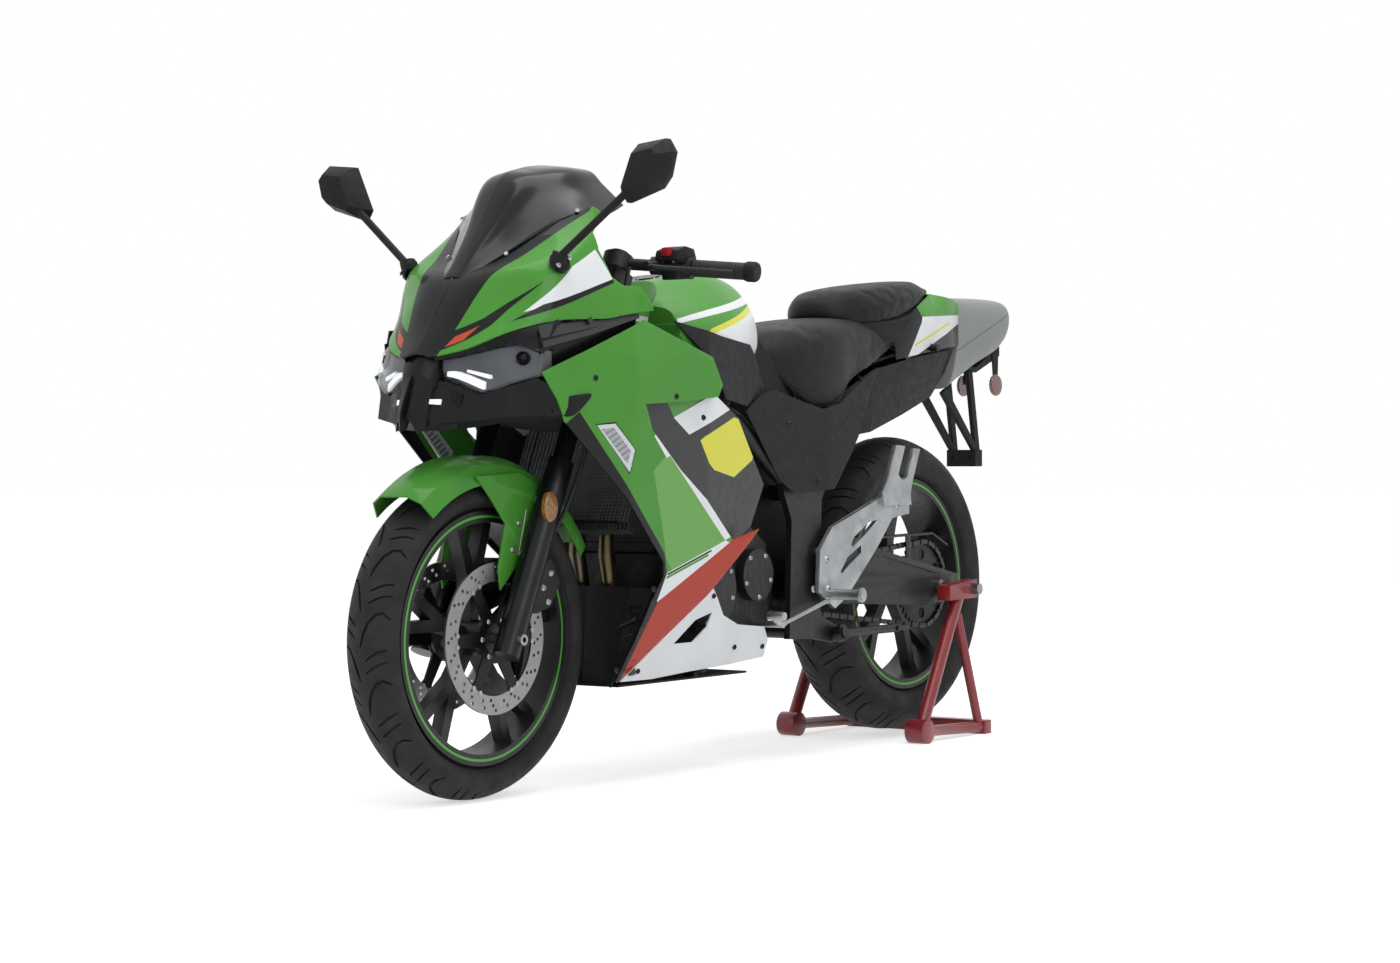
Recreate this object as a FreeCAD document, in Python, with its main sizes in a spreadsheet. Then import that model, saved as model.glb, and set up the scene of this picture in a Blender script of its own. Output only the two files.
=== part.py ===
import FreeCAD, Part
import math
import os
import re
import Sketcher
from FreeCAD import Placement, Rotation, Vector

# A faired single-seat-and-pillion sport bike, standing level on its rear paddock stand.
# X points forward, Y to the bike's left, Z up; the floor is z = 0. Outlines are drawn with
# x = 0 at the front axle, and every finished piece is then moved by front_axle_x, which puts
# the origin under the middle of the bike. Lengths are in millimetres, angles in degrees.

SIZES = [
    ("front_axle_x", 776.5, "front axle from the middle of the bike"),
    ("rake", 25, "steering axis from the vertical"),
    ("fork_offset", 35, "axle in front of the steering axis, level"),
    ("fork_spread", 97, "fork leg from the middle plane"),
    ("front_tyre_radius", 293, "110/70-17"),
    ("front_tyre_width", 110, "110/70-17"),
    ("rear_tyre_radius", 320, "150/70-17"),
    ("rear_tyre_width", 150, "150/70-17"),
    ("rear_lift", 14, "rear tyre above the floor, on the stand"),
    ("rim_seat_radius", 218, "bead seat of a 17 inch rim"),
    ("flange_height", 12, "rim flange above the bead seat"),
    ("rim_flange_radius", "=rim_seat_radius + flange_height", "rim flange"),
    ("rim_wall", 9, "rim barrel wall"),
    ("front_rim_width", 80, "over the flanges"),
    ("rear_rim_width", 112, "over the flanges"),
    ("spoke_count", 5, "forked spokes in a wheel"),
    ("spoke_depth", 26, "spoke along the axle"),
    ("hub_radius", 33, "wheel hub"),
    ("front_hub_length", 114.5, "front hub, to the brake discs"),
    ("rear_hub_length", 124, "rear hub along the axle"),
    ("carrier_radius", 50, "sprocket flange of the rear hub"),
    ("disc_bolt_circle", 36, "disc bolts from the axle"),
    ("axle_radius", 10, "front and rear axle"),
    ("axle_bore", 5, "bore through the front axle"),
    ("running_gap", 0.3, "between a turning piece and its seat"),
    ("front_disc_radius", 137, "front brake disc"),
    ("front_disc_band", 34, "height of the swept band"),
    ("front_disc_spread", 59.5, "disc from the middle plane"),
    ("disc_thickness", 4.5, "all discs"),
    ("rear_disc_radius", 110, "rear brake disc"),
    ("rear_disc_band", 30, "height of its swept band"),
    ("disc_arm_count", 6, "arms of a disc carrier"),
    ("sprocket_teeth", 36, "rear sprocket"),
    ("chain_pitch", 15.875, "520 chain"),
    ("chain_width", 16, "over the link plates"),
    ("chain_height", 15, "link plate"),
    ("chain_line", 89, "chain from the middle plane"),
    ("front_sprocket_radius", 34, "pitch radius on the gearbox shaft"),
    ("front_sprocket_back", 800, "gearbox shaft behind the front axle"),
    ("pivot_back", 916, "swingarm pivot behind the front axle"),
    ("pivot_height", 345, "swingarm pivot above the floor"),
    ("swingarm_length", 494, "pivot to the rear axle"),
    ("wheelbase", "=pivot_back + swingarm_length", "between the axles"),
    ("swingarm_inner", 100, "inner face of a swingarm beam"),
    ("swingarm_beam", 28, "beam width"),
    ("pivot_plate_inner", 132, "inner face of the frame's pivot plate"),
    ("pivot_plate", 14, "pivot plate thickness"),
    ("stanchion_radius", 18.5, "fork upper tube"),
    ("slider_radius", 25, "fork lower leg"),
    ("slider_top", 610, "top of the lower leg above the floor"),
    ("stanchion_top", 1000, "top of the upper tube above the floor"),
    ("lower_yoke_height", 690, "lower yoke, mid height"),
    ("upper_yoke_height", 938, "upper yoke, mid height"),
    ("yoke_thickness", 26, "both yokes"),
    ("stem_radius", 15, "steering stem"),
    ("head_tube_radius", 30, "head tube"),
    ("bar_radius", 11, "handlebar"),
    ("grip_radius", 16, "rubber grip"),
    ("bar_reach", 365, "bar end from the middle plane"),
    ("bar_back", 395, "bar end behind the front axle"),
    ("bar_height", 956, "bar end above the floor"),
    ("panel_wall", 3, "moulded panel wall"),
    ("boss_radius", 8, "screw boss behind a panel, and the stay that meets it"),
    ("crankcase_width", 216, "engine, over the crankcase"),
    ("barrel_width", 168, "both barrels together"),
    ("head_width", 180, "cylinder head"),
    ("cam_cover_width", 156, "cam cover"),
    ("generator_cover_reach", 142, "left round cover from the middle plane"),
    ("clutch_cover_reach", 140, "right round cover from the middle plane"),
    ("bracket_inner", 158, "inner face of the foot-rest bracket"),
    ("bracket_plate", 10, "foot-rest bracket thickness"),
    ("radiator_width", 250, "radiator core"),
    ("radiator_height", 210, "radiator core"),
    ("radiator_depth", 28, "radiator core"),
    ("radiator_tank", 24, "side tank along the bike's width"),
    ("frame_tube_radius", 19, "main frame rail"),
    ("subframe_tube_radius", 11, "seat rail"),
    ("shock_eye", 28.5, "half width of the shock's upper eye"),
    ("shock_pin_radius", 6, "shock bolt"),
    ("shock_top_back", 905, "shock's upper bolt behind the front axle"),
    ("shock_top_height", 640, "shock's upper bolt above the floor"),
    ("shock_foot_back", 1008, "shock's foot behind the front axle"),
    ("shock_foot_height", 352, "shock's foot above the floor"),
    ("shock_foot_tube", 18, "swingarm's cross tube under the shock"),
    ("guard_height", 440, "chain guard above the floor"),
    ("spool_height", 322, "stand spool above the floor"),
    ("spool_back", 66, "stand spool behind the rear axle"),
    ("spool_radius", 12, "stand spool"),
    ("spool_reach", 200, "end of the spool from the middle plane"),
    ("stand_tube_radius", 14, "paddock stand tube"),
    ("stand_spread", 165, "stand side tube from the middle plane"),
    ("side_stand_back", 1000, "side stand pivot behind the front axle"),
    ("side_stand_height", 250, "side stand pivot above the floor"),
    ("side_stand_length", 215, "pivot to the foot"),
    ("side_stand_splay", 14, "side stand pin above level, so that the leg swings outward"),
    ("stand_pin_radius", 7, "side stand pin"),
    ("plate_hole_spacing", 48, "between the number plate's two bolts"),
    ("plate_hole_radius", 3, "number plate bolt hole"),
    ("lid_radius", 40, "fuel lid"),
    ("lid_thickness", 7, "fuel lid"),
]

doc = FreeCAD.newDocument("sport_bike")
sheet = doc.addObject("Spreadsheet::Sheet", "sizes")
for row, (alias, value, note) in enumerate(SIZES, start=1):
    sheet.set("A%d" % row, note)
    sheet.set("B%d" % row, str(value))
    sheet.setAlias("B%d" % row, alias)
doc.recompute()


class Sizes:
    """The sheet's numbers by name."""

    def __getattr__(self, name):
        return float(sheet.get(name))


size = Sizes()
nodes = []

# Names in a formula are cells of the sheet.


def formula(text):
    return re.sub(r"[a-z][a-z_]*", lambda word: "sizes." + word.group(0), text)


def place(item, x="0", y="0", z="0"):
    item.setExpression("Placement.Base.x", formula(x))
    item.setExpression("Placement.Base.y", formula(y))
    item.setExpression("Placement.Base.z", formula(z))
    return item


def node(label, *pieces):
    """A named sub-part of the finished bike."""
    part = doc.addObject("Part::Compound", label)
    part.Label = label
    part.Links = list(pieces)
    part.setExpression("Placement.Base.x", "sizes.front_axle_x")
    nodes.append(part)
    return part


def solid(name, shape):
    feature = doc.addObject("Part::Feature", name)
    feature.Shape = shape
    return feature


def mirrored(piece):
    twin = doc.addObject("Part::Mirroring", piece.Name + "_right")
    twin.Source = piece
    twin.Normal = Vector(0, 1, 0)
    return twin


def fused(name, *pieces):
    joined = doc.addObject("Part::MultiFuse", name)
    joined.Shapes = list(pieces)
    return joined


def bored(name, base, tool):
    rest = doc.addObject("Part::Cut", name)
    rest.Base = base
    rest.Tool = tool
    return rest


def flip(shape):
    return shape.mirror(Vector(0, 0, 0), Vector(0, 1, 0))


# Sketches. A point with a third entry is one that an arc passes through.


def edges(points):
    corners = list(points) + [points[0]]
    result = []
    k = 0
    while k < len(corners) - 1:
        start = Vector(corners[k][0], corners[k][1], 0)
        nearby = corners[k + 1]
        if len(nearby) == 3:
            end = corners[k + 2]
            middle = Vector(nearby[0], nearby[1], 0)
            result.append(Part.Arc(start, middle, Vector(end[0], end[1], 0)))
            k += 2
        else:
            result.append(Part.LineSegment(start, Vector(nearby[0], nearby[1], 0)))
            k += 1
    return result


def new_body(name):
    return doc.addObject("PartDesign::Body", name)


def new_sketch(body, name, role, points=None, holes=(), offset="0", slots=()):
    sketch = body.newObject("Sketcher::SketchObject", name)
    plane = next(f for f in body.Origin.OriginFeatures if f.Role == role)
    sketch.AttachmentSupport = [(plane, "")]
    sketch.MapMode = "FlatFace"
    sketch.setExpression("AttachmentOffset.Base.z", formula(offset))
    if points:
        sketch.addGeometry(edges(points), False)
    for slot in slots:
        sketch.addGeometry(edges(slot), False)
    for across, up, radius in holes:
        sketch.addGeometry(Part.Circle(Vector(across, up, 0), Vector(0, 0, 1), radius), False)
    return sketch


def pad(body, name, role, points, length, offset="0", holes=(), symmetric=False, slots=()):
    feature = body.newObject("PartDesign::Pad", name)
    feature.Profile = new_sketch(body, name + "_sketch", role, points, holes, offset, slots)
    feature.setExpression("Length", formula(length))
    feature.Midplane = symmetric
    return feature


def side_plate(name, outline, low, high, holes=(), slots=()):
    """A body padded across the bike over a side outline, between two planes named by formulas."""
    body = new_body(name)
    pad(body, name + "_pad", "XZ_Plane", outline, "(%s) - (%s)" % (high, low),
        "0 - (%s)" % high, holes, slots=slots)
    return body


def cross_bar(name, radius, low, high, x, z):
    """A cylinder across the bike between two planes; every entry is a formula."""
    bar = doc.addObject("Part::Cylinder", name)
    bar.Placement = Placement(Vector(0, 0, 0), Rotation(Vector(1, 0, 0), -90))
    bar.setExpression("Radius", formula(radius))
    bar.setExpression("Height", formula("(%s) - (%s)" % (high, low)))
    return place(bar, x, low, z)


def box(name, length, width, height, x, y, z):
    """A block whose six entries are formulas."""
    block = doc.addObject("Part::Box", name)
    block.setExpression("Length", formula(length))
    block.setExpression("Width", formula(width))
    block.setExpression("Height", formula(height))
    return place(block, x, y, z)


def turn(body, name, points, kind="Revolution"):
    """Turns a profile of (along the axle, radius) points about the body's Y axis."""
    feature = body.newObject("PartDesign::" + kind, name)
    sketch = new_sketch(body, name + "_sketch", "YZ_Plane", points)
    feature.Profile = sketch
    feature.ReferenceAxis = (sketch, ["H_Axis"])
    feature.Angle = 360
    return feature


def around(body, feature, count):
    pattern = body.newObject("PartDesign::PolarPattern", feature.Name + "_ring")
    pattern.Originals = [feature]
    axis = next(f for f in body.Origin.OriginFeatures if f.Role == "Y_Axis")
    pattern.Axis = (axis, [""])
    pattern.Angle = 360
    pattern.setExpression("Occurrences", formula(count))
    body.Tip = pattern
    return pattern


# Solids that Part's own functions make.


def prism_y(points, low, high):
    """A side outline of (x, z) points, from y = low to y = high."""
    corners = [Vector(x, low, z) for x, z in points]
    face = Part.Face(Part.makePolygon(corners + corners[:1]))
    return face.extrude(Vector(0, high - low, 0))


def rod(start, end, radius):
    start = Vector(start)
    way = Vector(end) - start
    return Part.makeCylinder(radius, way.Length, start, way)


def tube(points, radius, bend=None):
    """Straight runs joined by tangent arcs, of one radius or as large as the runs allow."""
    corners = [Vector(*point) for point in points]
    pieces = []
    start = corners[0]
    for k in range(1, len(corners) - 1):
        back = (corners[k - 1] - corners[k]).normalize()
        ahead = (corners[k + 1] - corners[k]).normalize()
        half = 0.5 * back.getAngle(ahead)
        shorter = min((corners[k] - corners[k - 1]).Length, (corners[k + 1] - corners[k]).Length)
        arc = bend or 0.45 * shorter * math.tan(half)
        reach = arc / math.tan(half)
        first = corners[k] + back * reach
        last = corners[k] + ahead * reach
        inward = (back + ahead).normalize()
        middle = corners[k] + inward * (arc / math.sin(half) - arc)
        pieces.append(Part.LineSegment(start, first).toShape())
        pieces.append(Part.Arc(first, middle, last).toShape())
        start = last
    pieces.append(Part.LineSegment(start, corners[-1]).toShape())
    path = Part.Wire(pieces)
    circle = Part.Circle(corners[0], corners[1] - corners[0], radius).toShape()
    return path.makePipeShell([Part.Wire([circle])], True, False)


def sections_loft(wires):
    return Part.makeLoft(wires, True, True)


def inset(points, wall):
    """The inner line of a wall; the wall is to the right of its outer line."""
    inner = []
    for k, (first, second) in enumerate(points):
        before = points[max(k - 1, 0)]
        after = points[min(k + 1, len(points) - 1)]
        along = (after[0] - before[0], after[1] - before[1])
        if first == 0:
            along = (1, 0)
        length = math.hypot(*along)
        inner.append((first + wall * along[1] / length, second - wall * along[0] / length))
    return inner


def skin(sections, wall):
    """A moulded wall through sections (x, [(y, z), ...]) of the left half."""
    wires = []
    for x, outer in sections:
        ring = outer + inset(outer, wall)[::-1]
        corners = [Vector(x, y, z) for y, z in ring]
        wires.append(Part.makePolygon(corners + corners[:1]))
    return sections_loft(wires)


def hull(sections):
    """A solid through whole sections (x, [(y, z), ...]), mirrored about the middle plane."""
    wires = []
    for x, outer in sections:
        left = [Vector(x, y, z) for y, z in outer]
        right = [Vector(x, -y, z) for y, z in reversed(outer) if y > 0]
        wires.append(Part.makePolygon(left + right + left[:1]))
    return sections_loft(wires)


def wall_through(levels, wall):
    """A curved upright wall through levels (z, [(x, y), ...]), y being its outer face."""
    wires = []
    for z, line in levels:
        ring = line + [(x, y - wall) for x, y in reversed(line)]
        corners = [Vector(x, y, z) for x, y in ring]
        wires.append(Part.makePolygon(corners + corners[:1]))
    return sections_loft(wires)


def panel(outline, levels, wall):
    """The piece of a curved wall inside a side outline."""
    return wall_through(levels, wall).common(prism_y(outline, 0, 400))


def nearest_to_wall(shape):
    """The outermost solid of a boss that a cut has split."""
    return max(shape.Solids, key=lambda piece: piece.BoundBox.YMax)


def bosses(levels, depth, places):
    """Screw bosses that stand in from a curved wall's outer face, at (x, z) places."""
    thick = wall_through(levels, depth)
    return [rod((x, 0, z), (x, 400, z), size.boss_radius).common(thick) for x, z in places]


def steering_x(height):
    drop = height - size.front_tyre_radius
    return -size.fork_offset - drop * math.tan(math.radians(size.rake))


def fork_point(height, y=0.0, ahead=0.0):
    """A point in the plane of the fork legs, with ahead measured level."""
    return (steering_x(height) + size.fork_offset + ahead, y, height)


REAR_AXLE_HEIGHT = size.rear_tyre_radius + size.rear_lift

# Wheels. Each is turned about its own axle and then set at it.


def set_front(body):
    return place(body, "0", "0", "front_tyre_radius")


def set_rear(body):
    return place(body, "0 - wheelbase", "0", "rear_tyre_radius + rear_lift")


def tyre(name, radius, width, rim_width):
    body = new_body(name)
    seat = size.rim_seat_radius + size.running_gap
    bead = rim_width / 2 - size.rim_wall
    half = [
        (bead - size.running_gap, seat),
        (bead - size.running_gap, size.rim_flange_radius + 1),
        (0.5 * width, seat + 0.5 * (radius - seat)),
        (0.48 * width, radius - 0.25 * width),
        (0.30 * width, radius - 0.085 * width),
        (0.11 * width, radius),
    ]
    far_side = [(-across, up) for across, up in reversed(half)]
    turn(body, name + "_carcass", half + far_side)
    return body


def rim(name, rim_width, hub_length, bore, carrier=None):
    """A cast wheel; a carrier is the hub's flange for a sprocket, to that far on the left."""
    body = new_body(name)
    flange = size.disc_bolt_circle + 7
    left_end = [
        (hub_length / 2, bore),
        (hub_length / 2, flange),
        (hub_length / 2 - 8, flange),
        (hub_length / 2 - 12, size.hub_radius),
    ]
    if carrier:
        left_end = [
            (carrier, bore),
            (carrier, size.carrier_radius),
            (carrier - 12, size.carrier_radius),
            (hub_length / 2 - 12, size.hub_radius),
        ]
    hub = [(-hub_length / 2, bore)] + left_end + [
        (12 - hub_length / 2, size.hub_radius),
        (8 - hub_length / 2, flange),
        (-hub_length / 2, flange),
    ]
    turn(body, name + "_hub", hub)
    inside = size.rim_seat_radius - size.rim_wall
    root = size.hub_radius - 4
    tip = inside + 1
    fork = 0.42 * size.rim_seat_radius
    spoke = [
        (-12, root),
        (12, root),
        (13, fork),
        (50, tip),
        (30, tip),
        (0, fork + 34),
        (-30, tip),
        (-50, tip),
        (-13, fork),
    ]
    arm = pad(body, name + "_spoke", "XZ_Plane", spoke, "spoke_depth", symmetric=True)
    around(body, arm, "spoke_count")
    edge = rim_width / 2
    bead = edge - size.rim_wall
    barrel = [
        (-edge, inside),
        (edge, inside),
        (edge, size.rim_flange_radius),
        (bead, size.rim_flange_radius - 2),
        (bead, size.rim_seat_radius),
        (-bead, size.rim_seat_radius),
        (-bead, size.rim_flange_radius - 2),
        (-edge, size.rim_flange_radius),
    ]
    turn(body, name + "_barrel", barrel)
    return body


def brake_disc(name, radius, band, bolt_circle):
    """A swept band on a carrier with arms that reach in to the hub's bolt circle."""
    body = new_body(name)
    thick = size.disc_thickness / 2
    ring = [
        (-thick, bolt_circle - 7),
        (thick, bolt_circle - 7),
        (thick, bolt_circle + 9),
        (-thick, bolt_circle + 9),
    ]
    turn(body, name + "_carrier", ring)
    arm_outline = [
        (-9, bolt_circle + 4),
        (9, bolt_circle + 4),
        (16, radius - band + 4),
        (-16, radius - band + 4),
    ]
    arm = pad(body, name + "_arm", "XZ_Plane", arm_outline, "disc_thickness", symmetric=True)
    around(body, arm, "disc_arm_count")
    swept = [
        (-thick, radius - band),
        (thick, radius - band),
        (thick, radius),
        (-thick, radius),
    ]
    turn(body, name + "_band", swept)
    return body


def sprocket():
    """Teeth stand on the pitch circle; the web reaches in to the hub."""
    body = new_body("sprocket_body")
    teeth = int(size.sprocket_teeth)
    pitch_radius = size.chain_pitch / (2 * math.sin(math.pi / teeth))
    outline = []
    for k in range(teeth):
        for share, radius in ((-0.36, -4.5), (-0.14, 3.5), (0.14, 3.5), (0.36, -4.5)):
            angle = 2 * math.pi * (k + share) / teeth
            reach = pitch_radius + radius
            outline.append((reach * math.cos(angle), reach * math.sin(angle)))
    holes = [(0, 0, 30)]
    for k in range(6):
        angle = math.radians(60 * k + 30)
        holes.append((64 * math.cos(angle), 64 * math.sin(angle), 12))
    pad(body, "sprocket_plate", "XZ_Plane", outline, "disc_thickness", symmetric=True, holes=holes)
    return body


def chain():
    """One closed loop of links round both sprockets."""
    teeth = int(size.sprocket_teeth)
    big = size.chain_pitch / (2 * math.sin(math.pi / teeth))
    small = size.front_sprocket_radius
    rear = Vector(-size.wheelbase, 0, REAR_AXLE_HEIGHT)
    front = Vector(-size.front_sprocket_back, 0, size.pivot_height)
    way = front - rear
    lean = math.atan2(way.z, way.x)
    wrap = math.acos((big - small) / way.Length)
    half = size.chain_height / 2
    top = lean + wrap
    bottom = lean - wrap

    def at(centre, radius, angle):
        return centre + Vector(math.cos(angle), 0, math.sin(angle)) * radius

    def loop(shift):
        back = math.pi + lean
        runs = [
            Part.LineSegment(at(rear, big + shift, top), at(front, small + shift, top)),
            Part.Arc(
                at(front, small + shift, top),
                at(front, small + shift, lean),
                at(front, small + shift, bottom),
            ),
            Part.LineSegment(at(front, small + shift, bottom), at(rear, big + shift, bottom)),
            Part.Arc(
                at(rear, big + shift, bottom),
                at(rear, big + shift, back),
                at(rear, big + shift, top),
            ),
        ]
        return Part.Face(Part.Wire([run.toShape() for run in runs]))

    width = size.chain_width
    slot = size.disc_thickness + 2
    band = loop(half).cut(loop(-half)).extrude(Vector(0, width, 0))
    groove = loop(half - 3).cut(loop(-half - 2)).extrude(Vector(0, slot, 0))
    groove.translate(Vector(0, (width - slot) / 2, 0))
    links = band.cut(groove)
    links.translate(Vector(0, size.chain_line - width / 2, 0))
    return links


node("front_tyre", set_front(tyre(
    "front_tyre_body", size.front_tyre_radius, size.front_tyre_width, size.front_rim_width)))
node("front_rim", set_front(rim(
    "front_rim_body", size.front_rim_width, size.front_hub_length,
    size.axle_radius + size.running_gap)))
disc_left = brake_disc("front_disc_body", size.front_disc_radius, size.front_disc_band,
                       size.disc_bolt_circle)
place(disc_left, "0", "front_disc_spread", "front_tyre_radius")
node("front_discs", disc_left, mirrored(disc_left))

node("rear_tyre", set_rear(tyre(
    "rear_tyre_body", size.rear_tyre_radius, size.rear_tyre_width, size.rear_rim_width)))
node("rear_rim", set_rear(rim(
    "rear_rim_body", size.rear_rim_width, size.rear_hub_length,
    size.axle_radius + size.running_gap, size.chain_line - size.disc_thickness / 2)))
disc_rear = brake_disc("rear_disc_body", size.rear_disc_radius, size.rear_disc_band,
                       size.disc_bolt_circle)
place(disc_rear, "0 - wheelbase", "0 - rear_hub_length / 2 - disc_thickness / 2",
      "rear_tyre_radius + rear_lift")
node("rear_disc", disc_rear)
gear = sprocket()
place(gear, "0 - wheelbase", "chain_line", "rear_tyre_radius + rear_lift")
node("sprocket", gear)
node("chain", solid("chain_loop", chain()))

# Fork, yokes and handlebar, all square to the steering axis.


def fork_leg():
    spread = size.fork_spread
    foot = rod(fork_point(size.front_tyre_radius - 30, spread),
               fork_point(size.slider_top, spread), size.slider_radius)
    upper = rod(fork_point(size.slider_top, spread),
                fork_point(size.stanchion_top, spread), size.stanchion_radius)
    bore = rod((0, spread - 40, size.front_tyre_radius),
               (0, spread + 40, size.front_tyre_radius), size.axle_radius)
    return foot.fuse(upper).cut(bore)


def yoke(height):
    """A plate across both legs, bored for them, with the stem's seat in the middle."""
    leg = size.stanchion_radius
    spread = size.fork_spread
    outline = [
        (-32, -30), (-32, 30), (size.fork_offset - 26, spread + 28), (size.fork_offset + 26,
         spread + 28), (size.fork_offset + 30, spread - 28), (34, 0),
        (size.fork_offset + 30, 28 - spread), (size.fork_offset + 26, -spread - 28),
        (size.fork_offset - 26, -spread - 28),
    ]
    shift = size.fork_offset * math.cos(math.radians(size.rake))
    corners = [Vector(x, y, -size.yoke_thickness / 2) for x, y in outline]
    plate = Part.Face(Part.makePolygon(corners + corners[:1]))
    plate = plate.extrude(Vector(0, 0, size.yoke_thickness))
    for side in (-1, 1):
        bore = Part.makeCylinder(leg, 80, Vector(shift, side * spread, -40))
        plate = plate.cut(bore)
    plate.Placement = Placement(Vector(steering_x(height), 0, height),
                                Rotation(Vector(0, 1, 0), -size.rake))
    return plate


def yokes():
    lower = yoke(size.lower_yoke_height)
    upper = yoke(size.upper_yoke_height)
    stem = rod((steering_x(size.lower_yoke_height), 0, size.lower_yoke_height),
               (steering_x(size.upper_yoke_height), 0, size.upper_yoke_height), size.stem_radius)
    return lower.fuse([upper, stem])


leg_left = solid("fork_leg", fork_leg())
node("fork_legs", leg_left, mirrored(leg_left))
node("yokes", solid("yoke_pair", yokes()))

CLIP_HEIGHT = size.stanchion_top - 20
BAR_ROOT = Vector(*fork_point(CLIP_HEIGHT, size.fork_spread))
BAR_TIP = Vector(-size.bar_back, size.bar_reach, size.bar_height)


def bar_at(y):
    share = (y - BAR_ROOT.y) / (BAR_TIP.y - BAR_ROOT.y)
    return BAR_ROOT + (BAR_TIP - BAR_ROOT) * share


def handlebar():
    """A clip-on: a clamp ring on the fork tube, its bar and its rubber grip."""
    clamp_low = fork_point(CLIP_HEIGHT - 14, size.fork_spread)
    clamp_high = fork_point(CLIP_HEIGHT + 14, size.fork_spread)
    clamp = rod(clamp_low, clamp_high, size.stanchion_radius + 10)
    bar = rod(BAR_ROOT, BAR_TIP, size.bar_radius)
    grip = rod(bar_at(size.bar_reach - 118), bar_at(size.bar_reach - 6), size.grip_radius)
    leg = rod(fork_point(CLIP_HEIGHT - 60, size.fork_spread),
              fork_point(CLIP_HEIGHT + 60, size.fork_spread), size.stanchion_radius)
    return clamp.fuse([bar, grip]).cut(leg)


def controls():
    """Switch housing, lever perch and lever, clamped round the bar."""
    bar = rod(BAR_ROOT, BAR_TIP, size.bar_radius)
    housing = rod(bar_at(size.bar_reach - 165), bar_at(size.bar_reach - 122), 21)
    perch = rod(bar_at(size.bar_reach - 200), bar_at(size.bar_reach - 170), 17)
    root = bar_at(size.bar_reach - 185)
    lever_root = root + Vector(38, 0, -2)
    tip = bar_at(size.bar_reach - 20)
    lever = tube([lever_root, lever_root + Vector(14, 22, -3), tip + Vector(44, 0, -4)], 5, 12)
    arm = rod(root, lever_root + Vector(6, 0, 0), 9)
    return housing.cut(bar).fuse([perch.cut(bar), arm.cut(bar), lever])


bar_left = solid("handlebar_left", handlebar())
controls_left = solid("controls_left", controls())
node("handlebars", bar_left, mirrored(bar_left), controls_left, mirrored(controls_left))


def front_fender():
    """A channel bent round the tyre, with a leg on each side down to the fork."""
    inner = size.front_tyre_radius + 14
    half = size.front_tyre_width / 2 + 12
    wall = size.panel_wall
    section = [
        (-half, inner - 28), (-half * 0.85, inner + 6), (-half * 0.45, inner + 22),
        (half * 0.45, inner + 22), (half * 0.85, inner + 6), (half, inner - 28),
        (half - wall, inner - 28), (half * 0.85 - wall, inner + 4),
        (half * 0.45, inner + 22 - wall), (-half * 0.45, inner + 22 - wall),
        (-half * 0.85 + wall, inner + 4), (-half + wall, inner - 28),
    ]
    corners = [Vector(radius, y, 0) for y, radius in section]
    face = Part.Face(Part.makePolygon(corners + corners[:1]))
    face.rotate(Vector(0, 0, 0), Vector(0, 1, 0), -52)
    channel = face.revolve(Vector(0, 0, 0), Vector(0, 1, 0), -98)
    channel.translate(Vector(0, 0, size.front_tyre_radius))
    leg = [(60, 585), (-60, 590), (-170, 545), (-150, 470), (-60, 430), (-6, 380), (0, 420),
           (-20, 500), (20, 545)]
    flap = prism_y(leg, half - 0.5, half + wall)
    screws = []
    for height in (450, 540):
        x, _, z = fork_point(height)
        screws.append(rod((x, half, z), (x, size.fork_spread, z), 7).cut(fork_leg()))
    screws += [flip(screw) for screw in screws]
    return channel.fuse([flap, flip(flap)] + screws)


node("front_fender", solid("fender_shell", front_fender()))


axle_shaft = cross_bar("front_axle_shaft", "axle_radius", "0 - fork_spread - 32",
                       "fork_spread + 32", "0", "front_tyre_radius")
axle_core = cross_bar("front_axle_core", "axle_bore", "0 - fork_spread - 32",
                      "fork_spread + 32", "0", "front_tyre_radius")
node("front_axle", bored("front_axle_tube", axle_shaft, axle_core))


def caliper():
    """A two-piston caliper that straddles the disc behind the leg."""
    y = size.front_disc_spread
    outline = [(-52.5, 345), (-89.8, 425), (-134, 432), (-160, 388), (-132, 345), (-92, 334)]
    block = prism_y(outline, y - 24, y + 24)
    gap = size.disc_thickness / 2 + 1.5
    slot = Part.makeCylinder(size.front_disc_radius + 4, 2 * gap,
                             Vector(0, y - gap, size.front_tyre_radius), Vector(0, 1, 0))
    lug = prism_y([(-45, 352), (-78, 424), (-118, 424), (-95, 352)], y + 5, size.fork_spread)
    return block.cut(slot).fuse(lug.cut(fork_leg()))


caliper_left = solid("front_caliper_left", caliper())
node("front_calipers", caliper_left, mirrored(caliper_left))


def brake_hose():
    y = size.fork_spread
    points = [
        fork_point(970, y + 52, 26), fork_point(905, y + 43, 4), fork_point(800, y + 41, -2),
        fork_point(700, y + 40, -6), fork_point(610, y + 30, -28), fork_point(520, y + 12, -42),
        fork_point(428, y - 28, -46),
    ]
    return tube(points, 4).cut(caliper())


hose_left = solid("brake_hose_left", brake_hose())
node("brake_hoses", hose_left, mirrored(hose_left))

# Main frame, seat rails, engine and what hangs on them.

SHOCK_TOP = Vector(-size.shock_top_back, 0, size.shock_top_height)
SHOCK_FOOT = Vector(-size.shock_foot_back, 0, size.shock_foot_height)
STAND_PIVOT = Vector(-size.side_stand_back, 150, size.side_stand_height)
STAND_AXIS = Vector(0, math.cos(math.radians(size.side_stand_splay)),
                    math.sin(math.radians(size.side_stand_splay)))


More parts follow.
